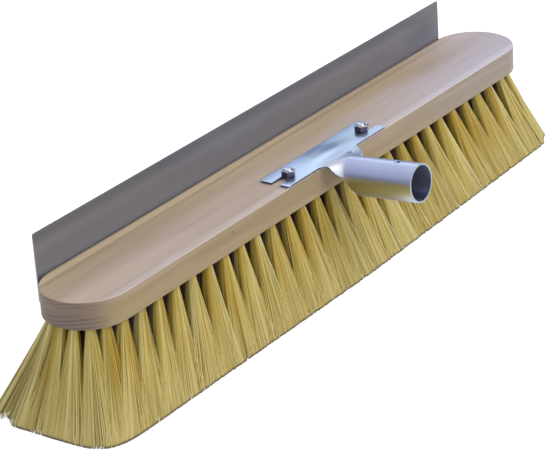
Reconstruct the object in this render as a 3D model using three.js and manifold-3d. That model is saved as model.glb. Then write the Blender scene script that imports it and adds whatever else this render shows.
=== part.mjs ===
// Head of a push broom: a beech block with rows of fibre tufts below, a steel scraper plate
// standing up behind it, and a T-shaped sheet bracket on top, rolled into a handle socket in front.
//
// Millimetres. +X runs along the block, -Y to the front, where the socket points, and +Z up.
// Inside the head, X and Y start at the middle of the block and Z at the trimmed bristle tips.
// The exported group moves that to the bottom centre of the whole head.

import * as THREE from 'three';
import { mergeVertices } from 'three/addons/utils/BufferGeometryUtils.js';
import Module from 'manifold-3d';

const wasm = await Module();
wasm.setup();

// ---------------------------------------------------------------- driving dimensions

const SEAT_GAP = 0.3; // between any two pieces that touch
const HOLE_GAP = 0.3; // round a shank, on the radius
const CUT_PAST = 2; // how far a cutter reaches past the face that it opens

const BLOCK_LENGTH = 600;
const BLOCK_WIDTH = 70;
const BLOCK_THICKNESS = 22;
const BLOCK_EDGE = 1.2; // rounding of the block's edges
const END_SEGMENTS = 20; // facets of one round end

const BRISTLE_LENGTH = 68; // from the block's underside to the tips
const TUFT_PITCH = 20;
const END_TUFT_PITCH = 12.5; // spacing of the tufts round each end
const TUFT_ROWS = 5;
const TUFT_INSET = 7; // from the block's side to the middle of the outer tufts
const TUFT_RADIUS = 1.9; // middle of a tuft to its strands, at the hole
const TUFT_TIP_RADIUS = 5.4; // the same at the tips
const RING_GAP = 13; // least distance of an inner tuft from the ones round the ends
const STRANDS_PER_TUFT = 3;
const STRAND_SIDES = 3;
const STRAND_RADIUS = 1.45;
const STRAND_TIP_RADIUS = 3.2;
const STRAND_ROOT = 1; // depth of a strand in its slice
const STRAND_KNEE = 0.5; // share of the length where a strand bends outward
const STRAND_KNEE_SPREAD = 0.46; // share of the spread reached there

const SPREAD_SIDE = 1; // outward travel of the tips, as a share of their way from the middle line
const SPREAD_SIDE_FALL = 0.375; // loss of that share from the middle to the right end
const LEAN_MIDDLE = 20; // travel of the tips to the right at the middle
const LEAN_RISE = 36; // its growth from the middle to the right end
const LEAN_BOW = 32; // its loss from the middle to either end
const LEFT_END_FORWARD = 16; // extra travel forward of the last tips at the left end
const LEFT_END_RIGHT = 10; // and to the right

const SLICE_THICKNESS = 3; // layer of the block that carries the strands
const SLICE_RIM = 2.5; // solid wood round that layer
const SLICE_COUNT = 4;

const BLADE_LENGTH = 545;
const BLADE_THICKNESS = 1.2;
const BLADE_RISE = 34.4; // above the block's top
const BLADE_OVERLAP = 20; // below the block's top
const BLADE_SHIFT = -5.5; // of its middle from the block's
const BLADE_CORNER = 1.5;

const SCREW_COUNT = 7;
const SCREW_END_MARGIN = 17.5; // last screw to the blade's end
const SCREW_DROP = 11; // screw axis below the block's top
const SCREW_SHANK_RADIUS = 2;
const SCREW_LENGTH = 18;
const SCREW_POINT = 4;
const SCREW_HEAD_RADIUS = 4;
const SCREW_HEAD_HEIGHT = 2.6;
const RECESS_LENGTH = 4.4;
const RECESS_WIDTH = 1;
const RECESS_DEPTH = 1.5;

const BRACKET_SHIFT = 4; // of the bracket's middle from the block's
const SHEET = 1.6;
const PLATE_LENGTH = 136;
const PLATE_WIDTH = 27;
const PLATE_CORNER = 2;
const PLATE_OVERHANG = 0.5; // plate edge past the block's front face
const SLOT_WIDTH = 8;
const SLOT_LINE = 12.3; // middle of the slots behind the plate's front edge
const STUD_END_MARGIN = 17; // stud to the plate's end

const SOCKET_BORE = 28;
const SOCKET_REACH = 74.6; // from the plate's front edge to the mouth
const SOCKET_TILT = THREE.MathUtils.degToRad(4.9);
const SEAM_GAP = 0.8;
const NECK_WIDTH = 44;
const NECK_FILLET = 5;
const NECK_LENGTH = 13.5; // from the flat plate to the full bend of the tube
const NECK_LIFT = 1.7; // of the sheet's top line over that length
const NECK_END_ANGLE = THREE.MathUtils.degToRad(77); // of the sheet round the tube's axis there
const SHOULDER_LENGTH = 10; // slanted rear edge of the closed tube
const SHEET_COLUMNS = 28;
const FIXING_HOLE_RADIUS = 2.3;
const FIXING_HOLE_BACK = 19.5; // from the mouth

const STUD_RADIUS = 3;
const STUD_DEPTH = 15; // in the wood
const STUD_POINT = 4;
const STUD_PROUD = 0.5; // above the nut
const STUD_CHAMFER = 0.7;
const NUT_ACROSS_FLATS = 10;
const NUT_HEIGHT = 5;
const NUT_CHAMFER = 0.9;

const ROUND_SEGMENTS = 20;

// ---------------------------------------------------------------- levels and places

const UNDERSIDE = BRISTLE_LENGTH;
const TOP = UNDERSIDE + BLOCK_THICKNESS;
const FRONT = -BLOCK_WIDTH / 2;
const BACK = BLOCK_WIDTH / 2;
const STRAIGHT_HALF = (BLOCK_LENGTH - BLOCK_WIDTH) / 2;

const PLATE_BOTTOM = TOP + SEAT_GAP;
const PLATE_TOP = PLATE_BOTTOM + SHEET;
const PLATE_FRONT = FRONT - PLATE_OVERHANG;
const STUD_LINE = PLATE_FRONT + SLOT_LINE;
const NUT_BOTTOM = PLATE_TOP + SEAT_GAP;
const STUD_TOP = NUT_BOTTOM + NUT_HEIGHT + STUD_PROUD;
const BLADE_FRONT = BACK + SEAT_GAP;
const SCREW_SEAT = BLADE_FRONT + BLADE_THICKNESS + SEAT_GAP;

const studReach = PLATE_LENGTH / 2 - STUD_END_MARGIN;
const studPlaces = [-studReach, studReach].map(
  (x) => new THREE.Vector2(BRACKET_SHIFT + x, STUD_LINE),
);

const screwPitch = (BLADE_LENGTH - 2 * SCREW_END_MARGIN) / (SCREW_COUNT - 1);
const screwPlaces = Array.from(
  { length: SCREW_COUNT },
  (_, i) => BLADE_SHIFT + (i - (SCREW_COUNT - 1) / 2) * screwPitch,
);

// ---------------------------------------------------------------- materials

const material = (color, roughness, metalness = 0) =>
  new THREE.MeshStandardMaterial({ color, roughness, metalness });

const BEECH = material(0xcdb698, 0.6);
const FIBRE = material(0xb9a25a, 0.8);
const GREY_STEEL = material(0x737175, 0.45, 1);
const ZINC = material(0xc3ccdc, 0.25, 1);
const SCREW_STEEL = material(0xb5b8bc, 0.35, 1);

// ---------------------------------------------------------------- solids

// A closed mesh becomes a solid that can be joined and cut.
function toSolid(geometry) {
  const bare = geometry.clone();
  bare.deleteAttribute('normal');
  bare.deleteAttribute('uv');
  const merged = mergeVertices(bare, 1e-4);
  const corners = merged.index.array;
  const kept = [];
  for (let i = 0; i < corners.length; i += 3) {
    const [a, b, c] = corners.slice(i, i + 3);
    if (a !== b && b !== c && c !== a) kept.push(a, b, c);
  }
  return new wasm.Manifold(
    new wasm.Mesh({
      numProp: 3,
      vertProperties: merged.attributes.position.array,
      triVerts: new Uint32Array(kept),
    }),
  );
}

function toGeometry(solid) {
  const mesh = solid.getMesh();
  const geometry = new THREE.BufferGeometry();
  geometry.setAttribute('position', new THREE.BufferAttribute(mesh.vertProperties, 3));
  geometry.setIndex(new THREE.BufferAttribute(mesh.triVerts, 1));
  geometry.computeVertexNormals();
  return geometry;
}

// Stacked rings of points, all of one count, closed by a cap at each end. A cap pairs the ring's
// points from both ends of the list, so a thin curved band can be a ring too.
function stackRings(rings) {
  const count = rings[0].length;
  const last = (rings.length - 1) * count;
  const positions = rings.flatMap((ring) => ring.flatMap((point) => point.toArray()));
  const faces = [];
  for (let row = 0; row < rings.length - 1; row += 1) {
    for (let i = 0; i < count; i += 1) {
      const a = row * count + i;
      const b = row * count + ((i + 1) % count);
      faces.push(a, b, b + count, a, b + count, a + count);
    }
  }
  for (let i = 0, j = count - 1; i < j; i += 1, j -= 1) {
    if (i + 1 < j) {
      faces.push(j, i + 1, i, last + i, last + i + 1, last + j);
    }
    if (i + 1 < j - 1) {
      faces.push(j, j - 1, i + 1, last + i + 1, last + j - 1, last + j);
    }
  }
  const geometry = new THREE.BufferGeometry();
  geometry.setAttribute('position', new THREE.Float32BufferAttribute(positions, 3));
  geometry.setIndex(faces);
  return geometry;
}

function joinStacks(stacks) {
  const positions = [];
  const faces = [];
  for (const stack of stacks) {
    const start = positions.length / 3;
    positions.push(...stack.attributes.position.array);
    faces.push(...Array.from(stack.index.array, (corner) => corner + start));
  }
  const geometry = new THREE.BufferGeometry();
  geometry.setAttribute('position', new THREE.Float32BufferAttribute(positions, 3));
  geometry.setIndex(faces);
  return geometry;
}

function extrude(shape, bottom, height) {
  const geometry = new THREE.ExtrudeGeometry(shape, {
    depth: height,
    bevelEnabled: false,
    curveSegments: END_SEGMENTS,
  });
  return geometry.translate(0, 0, bottom);
}

// An upright rod from one height to another.
function rod(radius, bottom, top) {
  const geometry = new THREE.CylinderGeometry(radius, radius, top - bottom, ROUND_SEGMENTS);
  return geometry.rotateX(Math.PI / 2).translate(0, 0, (bottom + top) / 2);
}

// A turned piece about Z. Its profile holds [radius, height] pairs from the bottom up.
function turned(profile) {
  const points = profile.map(([radius, height]) => new THREE.Vector2(radius, height));
  return new THREE.LatheGeometry(points, ROUND_SEGMENTS).rotateX(Math.PI / 2);
}

// ---------------------------------------------------------------- outlines

// The block's outline, drawn in from its edge by a margin: two straight sides, two round ends.
function blockOutline(margin) {
  const radius = BLOCK_WIDTH / 2 - margin;
  const outline = new THREE.Shape();
  outline.absarc(STRAIGHT_HALF, 0, radius, -Math.PI / 2, Math.PI / 2);
  outline.absarc(-STRAIGHT_HALF, 0, radius, Math.PI / 2, (3 * Math.PI) / 2);
  outline.closePath();
  return outline;
}

function roundedRectangle(left, right, low, high, radius) {
  const outline = new THREE.Shape();
  outline.absarc(right - radius, low + radius, radius, -Math.PI / 2, 0);
  outline.absarc(right - radius, high - radius, radius, 0, Math.PI / 2);
  outline.absarc(left + radius, high - radius, radius, Math.PI / 2, Math.PI);
  outline.absarc(left + radius, low + radius, radius, Math.PI, (3 * Math.PI) / 2);
  outline.closePath();
  return outline;
}

// ---------------------------------------------------------------- wooden block

function woodenBlock() {
  const blank = new THREE.ExtrudeGeometry(blockOutline(0), {
    depth: BLOCK_THICKNESS - 2 * BLOCK_EDGE,
    bevelThickness: BLOCK_EDGE,
    bevelSize: BLOCK_EDGE,
    bevelOffset: -BLOCK_EDGE,
    bevelSegments: 2,
    curveSegments: END_SEGMENTS,
  }).translate(0, 0, UNDERSIDE + BLOCK_EDGE);
  const recessDepth = SLICE_THICKNESS + SEAT_GAP;
  const recess = extrude(blockOutline(SLICE_RIM), UNDERSIDE - CUT_PAST, recessDepth + CUT_PAST);
  let block = toSolid(blank).subtract(toSolid(recess));
  for (const place of studPlaces) {
    const bottom = TOP - STUD_DEPTH - HOLE_GAP;
    const hole = rod(STUD_RADIUS + HOLE_GAP, bottom, TOP + CUT_PAST);
    block = block.subtract(toSolid(hole.translate(place.x, place.y, 0)));
  }
  for (const x of screwPlaces) {
    const bottom = SCREW_SEAT - SCREW_LENGTH - HOLE_GAP;
    const hole = rod(SCREW_SHANK_RADIUS + HOLE_GAP, bottom, BACK + CUT_PAST);
    block = block.subtract(toSolid(layToBack(hole, x)));
  }
  return toGeometry(block);
}

// ---------------------------------------------------------------- bristles

const outerTuftRadius = BLOCK_WIDTH / 2 - TUFT_INSET;
const rowPitch = (2 * outerTuftRadius) / (TUFT_ROWS - 1);

// Tufts stand over each other in every second row, and half a pitch aside in the rows between.
const rowShift = (row) => (row % 2 === 0 ? 0 : TUFT_PITCH / 2);
const rowHeight = (row) => -outerTuftRadius + row * rowPitch;

function tuftPlaces() {
  const places = [];
  for (let row = 0; row < TUFT_ROWS; row += 1) {
    const y = rowHeight(row);
    const outer = row === 0 || row === TUFT_ROWS - 1;
    const bulge = Math.sqrt(Math.max(0, (outerTuftRadius - RING_GAP) ** 2 - y ** 2));
    const reach = STRAIGHT_HALF + (outer ? 0 : bulge);
    const steps = Math.floor((reach + rowShift(row)) / TUFT_PITCH);
    for (let step = -steps; step <= steps; step += 1) {
      const x = step * TUFT_PITCH + rowShift(row);
      if (Math.abs(x) <= reach) places.push(new THREE.Vector2(x, y));
    }
  }
  const endTufts = Math.round((Math.PI * outerTuftRadius) / END_TUFT_PITCH) - 1;
  for (const side of [-1, 1]) {
    for (let i = 1; i <= endTufts; i += 1) {
      const angle = (i / (endTufts + 1) - 0.5) * Math.PI;
      const x = side * (STRAIGHT_HALF + outerTuftRadius * Math.cos(angle));
      places.push(new THREE.Vector2(x, outerTuftRadius * Math.sin(angle)));
    }
  }
  return places;
}

// Where the tips of a tuft stand: spread to both sides, leaning right, and swept forward at the
// left end.
function tuftTip(base) {
  const along = base.x / (BLOCK_LENGTH / 2);
  const sideSpread = SPREAD_SIDE - SPREAD_SIDE_FALL * Math.max(0, along);
  const lean = LEAN_MIDDLE + LEAN_RISE * along - LEAN_BOW * along ** 2;
  const inLeftEnd = Math.max(0, -(base.x + STRAIGHT_HALF) / outerTuftRadius);
  return new THREE.Vector2(
    base.x + lean + LEFT_END_RIGHT * inLeftEnd,
    base.y * (1 + sideSpread) - LEFT_END_FORWARD * inLeftEnd,
  );
}

function strand(base, tip, turn) {
  const levels = [
    { z: UNDERSIDE + STRAND_ROOT, share: 0 },
    { z: UNDERSIDE - STRAND_KNEE * BRISTLE_LENGTH, share: STRAND_KNEE_SPREAD },
    { z: 0, share: 1 },
  ];
  const rings = levels.map(({ z, share }) => {
    const offset = THREE.MathUtils.lerp(TUFT_RADIUS, TUFT_TIP_RADIUS, share);
    const radius = THREE.MathUtils.lerp(STRAND_RADIUS, STRAND_TIP_RADIUS, share);
    const x = THREE.MathUtils.lerp(base.x, tip.x, share) + offset * Math.cos(turn);
    const y = THREE.MathUtils.lerp(base.y, tip.y, share) + offset * Math.sin(turn);
    return Array.from({ length: STRAND_SIDES }, (_, side) => {
      const angle = turn - (2 * Math.PI * side) / STRAND_SIDES;
      return new THREE.Vector3(x + radius * Math.cos(angle), y + radius * Math.sin(angle), z);
    });
  });
  return stackRings(rings);
}

function tuft(base) {
  const tip = tuftTip(base);
  return Array.from({ length: STRANDS_PER_TUFT }, (_, i) =>
    strand(base, tip, (2 * Math.PI * (i + 0.25)) / STRANDS_PER_TUFT),
  );
}

// The cut between two slices zigzags from row to row, half way between the tufts of each.
const pitchesAlong = BLOCK_LENGTH / TUFT_PITCH;
const cuts = Array.from(
  { length: SLICE_COUNT - 1 },
  (_, i) => Math.round(((i + 1) / SLICE_COUNT - 0.5) * pitchesAlong) + 0.5,
);
const cutAt = (cut, row) => cut * TUFT_PITCH - rowShift(row);

function cutLine(cut, shift) {
  const points = Array.from(
    { length: TUFT_ROWS },
    (_, row) => new THREE.Vector2(cutAt(cut, row) + shift, rowHeight(row)),
  );
  const first = new THREE.Vector2(points[0].x, -BLOCK_WIDTH);
  const final = new THREE.Vector2(points[TUFT_ROWS - 1].x, BLOCK_WIDTH);
  return [first, ...points, final];
}

function blockEndLine(x) {
  return [new THREE.Vector2(x, -BLOCK_WIDTH), new THREE.Vector2(x, BLOCK_WIDTH)];
}

function sliceOf(place) {
  const row = Math.round((place.y + outerTuftRadius) / rowPitch);
  return cuts.filter((cut) => place.x > cutAt(cut, row)).length;
}

function bristleSlice(index) {
  const gap = SEAT_GAP / 2;
  const leftLine = index > 0 ? cutLine(cuts[index - 1], gap) : blockEndLine(-BLOCK_LENGTH);
  const isLast = index === SLICE_COUNT - 1;
  const rightLine = isLast ? blockEndLine(BLOCK_LENGTH) : cutLine(cuts[index], -gap);
  const band = new THREE.Shape([...leftLine.reverse(), ...rightLine]);
  const layer = extrude(blockOutline(SLICE_RIM + SEAT_GAP), UNDERSIDE, SLICE_THICKNESS);
  const cutter = extrude(band, UNDERSIDE - CUT_PAST, SLICE_THICKNESS + 2 * CUT_PAST);
  const slice = toSolid(layer).intersect(toSolid(cutter));
  const places = tuftPlaces().filter((place) => sliceOf(place) === index);
  const strands = joinStacks(places.flatMap(tuft));
  return toGeometry(slice.add(toSolid(strands)));
}

// ---------------------------------------------------------------- scraper blade and its screws

// Turns a piece built about Z so that its top faces the back, and puts it on a screw's axis.
function layToBack(geometry, x) {
  return geometry.rotateX(-Math.PI / 2).translate(x, 0, TOP - SCREW_DROP);
}

function scraperBlade() {
  const left = BLADE_SHIFT - BLADE_LENGTH / 2;
  const right = BLADE_SHIFT + BLADE_LENGTH / 2;
  const low = TOP - BLADE_OVERLAP;
  const high = TOP + BLADE_RISE;
  const outline = roundedRectangle(left, right, low, high, BLADE_CORNER);
  for (const x of screwPlaces) {
    const hole = new THREE.Path();
    hole.absarc(x, TOP - SCREW_DROP, SCREW_SHANK_RADIUS + HOLE_GAP, 0, 2 * Math.PI, true);
    outline.holes.push(hole);
  }
  const sheet = new THREE.ExtrudeGeometry(outline, {
    depth: BLADE_THICKNESS,
    bevelEnabled: false,
    curveSegments: ROUND_SEGMENTS / 4,
  });
  return sheet.rotateX(Math.PI / 2).translate(0, BLADE_FRONT + BLADE_THICKNESS, 0);
}

// A pan head over a plain shank with a point. The cross recess is cut into the head.
function bladeScrew(x) {
  const crown = SCREW_SEAT + SCREW_HEAD_HEIGHT;
  const shoulder = SCREW_SEAT + SCREW_HEAD_HEIGHT / 2;
  const tip = SCREW_SEAT - SCREW_LENGTH;
  const profile = [
    [0, tip],
    [SCREW_SHANK_RADIUS, tip + SCREW_POINT],
    [SCREW_SHANK_RADIUS, SCREW_SEAT],
    [SCREW_HEAD_RADIUS, SCREW_SEAT],
    [SCREW_HEAD_RADIUS, shoulder],
    [SCREW_HEAD_RADIUS * 0.85, shoulder + SCREW_HEAD_HEIGHT * 0.35],
    [SCREW_HEAD_RADIUS * 0.5, crown - SCREW_HEAD_HEIGHT * 0.04],
    [0, crown],
  ];
  let screw = toSolid(turned(profile));
  for (const turn of [0, Math.PI / 2]) {
    const depth = RECESS_DEPTH + CUT_PAST;
    const slot = new THREE.BoxGeometry(RECESS_LENGTH, RECESS_WIDTH, depth);
    slot.rotateZ(turn).translate(0, 0, crown - RECESS_DEPTH + depth / 2);
    screw = screw.subtract(toSolid(slot));
  }
  return layToBack(toGeometry(screw), x);
}

// ---------------------------------------------------------------- socket bracket

const sheetRadius = SOCKET_BORE / 2 + SHEET / 2; // of the sheet's middle in the closed tube
const plateMid = PLATE_BOTTOM + SHEET / 2;

// One station along the sheet's top line: its point, its slope, how far the sheet is bent about
// the line, and how wide the flat sheet is to each side of it.
function sheetStation(run) {
  const inNeck = THREE.MathUtils.clamp(run / NECK_LENGTH, 0, 1);
  const bent = THREE.MathUtils.smoothstep(inNeck ** 2, 0, 1);
  const curvature = bent / sheetRadius;
  const past = Math.max(0, run - NECK_LENGTH);
  const slope = Math.tan(SOCKET_TILT);
  const ease = inNeck ** 2 * (3 - 2 * inNeck);
  const pull = inNeck ** 2 * (inNeck - 1);
  const lift = NECK_LIFT * ease + NECK_LENGTH * slope * pull + past * slope;
  const tilt = SOCKET_TILT * bent;
  const intoFillet = THREE.MathUtils.clamp(run / NECK_FILLET, 0, 1);
  const fillet = NECK_FILLET * (1 - Math.sqrt(1 - (1 - intoFillet) ** 2));
  const neckEnd = NECK_END_ANGLE * sheetRadius;
  const neckHalf = THREE.MathUtils.lerp(NECK_WIDTH / 2, neckEnd, bent) + fillet;
  const onShoulder = THREE.MathUtils.clamp(past / SHOULDER_LENGTH, 0, 1);
  const cutHeight = THREE.MathUtils.lerp(Math.cos(NECK_END_ANGLE), -1, onShoulder);
  const seam = Math.PI * sheetRadius - SEAM_GAP / 2;
  const half = past > 0 ? Math.min(Math.acos(cutHeight) * sheetRadius, seam) : neckHalf;
  const point = new THREE.Vector3(BRACKET_SHIFT, PLATE_FRONT - run, plateMid + lift);
  return { point, tilt, curvature, half };
}

// The closed band of points where a plane across the top line cuts the sheet.
function sheetRing({ point, tilt, curvature, half }) {
  const up = new THREE.Vector3(0, Math.sin(tilt), Math.cos(tilt));
  const across = new THREE.Vector3(1, 0, 0);
  const side = (offset) => (_, column) => {
    const along = half * (1 - (2 * column) / SHEET_COLUMNS);
    const angle = along * curvature;
    const reach = curvature > 0 ? Math.sin(angle) / curvature : along;
    const drop = curvature > 0 ? (1 - Math.cos(angle)) / curvature : 0;
    return point
      .clone()
      .addScaledVector(across, reach + offset * Math.sin(angle))
      .addScaledVector(up, offset * Math.cos(angle) - drop);
  };
  const columns = { length: SHEET_COLUMNS + 1 };
  const outer = Array.from(columns, side(SHEET / 2));
  const inner = Array.from(columns, side(-SHEET / 2)).reverse();
  return [...outer, ...inner];
}

// The sheet from the plate's front edge on: flat, then curling down into the open-seamed tube.
function rolledSheet() {
  const share = (count, from, to) =>
    Array.from({ length: count }, (_, i) => THREE.MathUtils.lerp(from, to, (i + 1) / count));
  const shoulderEnd = NECK_LENGTH + SHOULDER_LENGTH;
  const runs = [
    0,
    ...share(5, 0, NECK_FILLET),
    ...share(4, NECK_FILLET, NECK_LENGTH),
    ...share(6, NECK_LENGTH, shoulderEnd),
    SOCKET_REACH,
  ];
  const rings = runs.map((run) => sheetRing(sheetStation(run)));
  const flat = sheetStation(0);
  flat.point.y += CUT_PAST;
  return stackRings([sheetRing(flat), ...rings]);
}

function forkedPlate() {
  const left = BRACKET_SHIFT - PLATE_LENGTH / 2;
  const right = BRACKET_SHIFT + PLATE_LENGTH / 2;
  const rear = PLATE_FRONT + PLATE_WIDTH;
  const outline = roundedRectangle(left, right, PLATE_FRONT, rear, PLATE_CORNER);
  let plate = toSolid(extrude(outline, PLATE_BOTTOM, SHEET));
  for (const place of studPlaces) {
    const outward = Math.sign(place.x - BRACKET_SHIFT) * PLATE_LENGTH;
    const radius = SLOT_WIDTH / 2;
    const ends = [place.x, place.x + outward].sort((a, b) => a - b);
    const slot = roundedRectangle(
      ends[0] - radius,
      ends[1] + radius,
      place.y - radius,
      place.y + radius,
      radius,
    );
    const cutter = extrude(slot, PLATE_BOTTOM - CUT_PAST, SHEET + 2 * CUT_PAST);
    plate = plate.subtract(toSolid(cutter));
  }
  return plate;
}

function socketBracket() {
  const bracket = forkedPlate().add(toSolid(rolledSheet()));
  const seat = sheetStation(SOCKET_REACH - FIXING_HOLE_BACK);
  const hole = rod(FIXING_HOLE_RADIUS, -SHEET - CUT_PAST, SHEET + CUT_PAST);
  hole.rotateX(-seat.tilt).translate(seat.point.x, seat.point.y, seat.point.z);
  return toGeometry(bracket.subtract(toSolid(hole)));
}

// ---------------------------------------------------------------- studs and nuts

function hangerBolt(place) {
  const tip = TOP - STUD_DEPTH;
  const profile = [
    [0, tip],
    [STUD_RADIUS, tip + STUD_POINT],
    [STUD_RADIUS, STUD_TOP - STUD_CHAMFER],
    [STUD_RADIUS - STUD_CHAMFER, STUD_TOP],
    [0, STUD_TOP],
  ];
  return turned(profile).translate(place.x, place.y, 0);
}

function hexNut(place) {
  const cornerRadius = NUT_ACROSS_FLATS / Math.sqrt(3);
  const prism = new THREE.CylinderGeometry(cornerRadius, cornerRadius, NUT_HEIGHT, 6);
  prism.rotateX(Math.PI / 2).translate(0, 0, NUT_BOTTOM + NUT_HEIGHT / 2);
  const crown = NUT_BOTTOM + NUT_HEIGHT;
  const flat = NUT_ACROSS_FLATS / 2 - NUT_CHAMFER / 4;
  const slope = NUT_CHAMFER * 0.6;
  const chamfered = turned([
    [0, NUT_BOTTOM],
    [flat, NUT_BOTTOM],
    [flat + NUT_CHAMFER, NUT_BOTTOM + slope],
    [flat + NUT_CHAMFER, crown - slope],
    [flat, crown],
    [0, crown],
  ]);
  const bore = rod(STUD_RADIUS + HOLE_GAP, NUT_BOTTOM - CUT_PAST, crown + CUT_PAST);
  const nut = toSolid(prism).intersect(toSolid(chamfered)).subtract(toSolid(bore));
  return toGeometry(nut).translate(place.x, place.y, 0);
}

// ---------------------------------------------------------------- assembly

const head = new THREE.Group();

function addPiece(name, geometry, look) {
  const mesh = new THREE.Mesh(geometry, look);
  mesh.name = name;
  head.add(mesh);
}

addPiece('wooden_block', woodenBlock(), BEECH);
for (let i = 0; i < SLICE_COUNT; i += 1) {
  addPiece(`bristles_${i + 1}`, bristleSlice(i), FIBRE);
}
addPiece('scraper_blade', scraperBlade(), GREY_STEEL);
screwPlaces.forEach((x, i) => addPiece(`blade_screw_${i + 1}`, bladeScrew(x), SCREW_STEEL));
addPiece('socket_bracket', socketBracket(), ZINC);
studPlaces.forEach((place, i) => {
  const side = ['left', 'right'][i];
  addPiece(`hanger_bolt_${side}`, hangerBolt(place), ZINC);
  addPiece(`nut_${side}`, hexNut(place), ZINC);
});

const bounds = new THREE.Box3().setFromObject(head, true);
const middle = bounds.getCenter(new THREE.Vector3());
head.position.set(-middle.x, -middle.y, -bounds.min.z);

const group = new THREE.Group();
group.add(head);

export default group;
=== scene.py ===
# Dresses the head of a push broom: a beech block, tufts of plant fibre, a steel scraper blade
# and a zinc plated bracket with a handle socket.
# Lengths are in metres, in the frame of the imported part: +X along the block, -Y to the front and
# +Z up. The bristle tips stand on the floor at Z = 0.

import math

import bpy
import numpy as np
from bpy.props import FloatProperty, FloatVectorProperty, IntProperty, PointerProperty
from mathutils import Matrix, Vector, geometry


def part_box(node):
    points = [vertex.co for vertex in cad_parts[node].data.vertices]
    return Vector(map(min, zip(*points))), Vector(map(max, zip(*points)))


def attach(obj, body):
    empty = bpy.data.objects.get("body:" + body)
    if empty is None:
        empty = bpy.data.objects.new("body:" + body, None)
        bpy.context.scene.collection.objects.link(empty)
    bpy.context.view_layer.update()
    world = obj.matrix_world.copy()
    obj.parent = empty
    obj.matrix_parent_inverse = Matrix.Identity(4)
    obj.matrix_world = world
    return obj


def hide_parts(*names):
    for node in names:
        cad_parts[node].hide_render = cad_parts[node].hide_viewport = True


bl_info = {
    "name": "Push Broom Head",
    "version": (1, 0, 0),
    "blender": (4, 5, 0),
    "location": "3D View > Sidebar > Broom",
    "description": "Builds the wood, fibre and steel pieces of a push broom head on its frame",
    "category": "Object",
}

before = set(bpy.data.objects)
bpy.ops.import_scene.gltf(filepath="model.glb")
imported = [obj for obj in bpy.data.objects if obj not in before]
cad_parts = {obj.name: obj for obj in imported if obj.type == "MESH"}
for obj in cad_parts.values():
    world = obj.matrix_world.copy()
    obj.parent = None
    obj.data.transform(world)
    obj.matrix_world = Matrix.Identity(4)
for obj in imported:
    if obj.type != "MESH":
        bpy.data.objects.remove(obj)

MM = 0.001
BODY = "root"
QUARTER = math.pi / 2
SIDES = ("left", "right")

# Room between pieces that touch, and between a shank and its hole.
CLEARANCE = 0.3 * MM
# How far the tools that drill the wood start outside it.
RUN_UP = 5 * MM
SCREW_HOLE_RADIUS = 2.3 * MM
SMALL_HOLE_SEGMENTS = 20
SHANK_SEGMENTS = 28


def middle(node):
    low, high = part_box(node)
    return (low + high) / 2


BLOCK_LOW, BLOCK_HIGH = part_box("wooden_block")
BLOCK_MIDDLE = middle("wooden_block")
UNDERSIDE = BLOCK_LOW.z
TOP = BLOCK_HIGH.z
BLOCK_LENGTH = BLOCK_HIGH.x - BLOCK_LOW.x
BLOCK_WIDTH = BLOCK_HIGH.y - BLOCK_LOW.y
STRAIGHT_HALF = (BLOCK_LENGTH - BLOCK_WIDTH) / 2

STUD_NODES = ("hanger_bolt_left", "hanger_bolt_right")
NUT_NODES = ("nut_left", "nut_right")
SCREW_NODES = tuple(sorted(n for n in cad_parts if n.startswith("blade_screw")))
BRISTLE_NODES = tuple(sorted(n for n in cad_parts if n.startswith("bristles")))
BRACKET_X = (middle(STUD_NODES[0]).x + middle(STUD_NODES[1]).x) / 2


# ------------------------------------------------------------------ what a user may change


def length(name, description, millimetres):
    return FloatProperty(
        name=name, description=description, default=millimetres * MM, subtype="DISTANCE", unit="LENGTH"
    )


def angle(name, description, degrees):
    return FloatProperty(
        name=name,
        description=description,
        default=math.radians(degrees),
        subtype="ANGLE",
        unit="ROTATION",
    )


def share(name, description, value):
    return FloatProperty(name=name, description=description, default=value)


def power(name, description, watts):
    return FloatProperty(name=name, description=description, default=watts, unit="POWER")


def count(name, description, value):
    return IntProperty(name=name, description=description, default=value, min=1)


def colour(name, description, value):
    return FloatVectorProperty(
        name=name, description=description, default=value, subtype="COLOR", size=3, min=0, max=1
    )


class BlockSettings(bpy.types.PropertyGroup):
    edge: length("Edge", "Rounding of the block's edges", 0.9)
    end_segments: count("End segments", "Facets of one round end", 72)
    hole_radius: length("Tuft hole radius", "Radius of the holes that hold the tufts", 3.7)
    hole_depth: length("Tuft hole depth", "Depth of those holes", 8)
    layer: length("Growth layer", "Distance between two growth layers of the wood", 3.1)
    heart: colour("Rosy wood", "Rosy tone along the front of the board", (0.405, 0.315, 0.262))
    # Painted sheen: a bluish tone on the top towards the right end, standing in for reflected bluish
    # light.
    bluish_sheen: colour("Cool wood", "Cooler tone towards the right end", (0.40, 0.37, 0.46))
    sap: colour("Tan wood", "Tan tone along the back of the board", (0.35, 0.264, 0.17))
    strip: colour("Light strip", "Younger wood along the back edge", (0.50, 0.385, 0.235))
    # Painted shade: the sides' tones are darker than the top's, as light falls less on them.
    side: colour("Side", "Tone of the board's sides", (0.232, 0.169, 0.088))
    far_side_shade: colour("Cool side", "The same towards the right end", (0.205, 0.174, 0.152))
    late: colour("Late wood", "Thin lines between the growth layers", (0.19, 0.125, 0.07))


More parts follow.
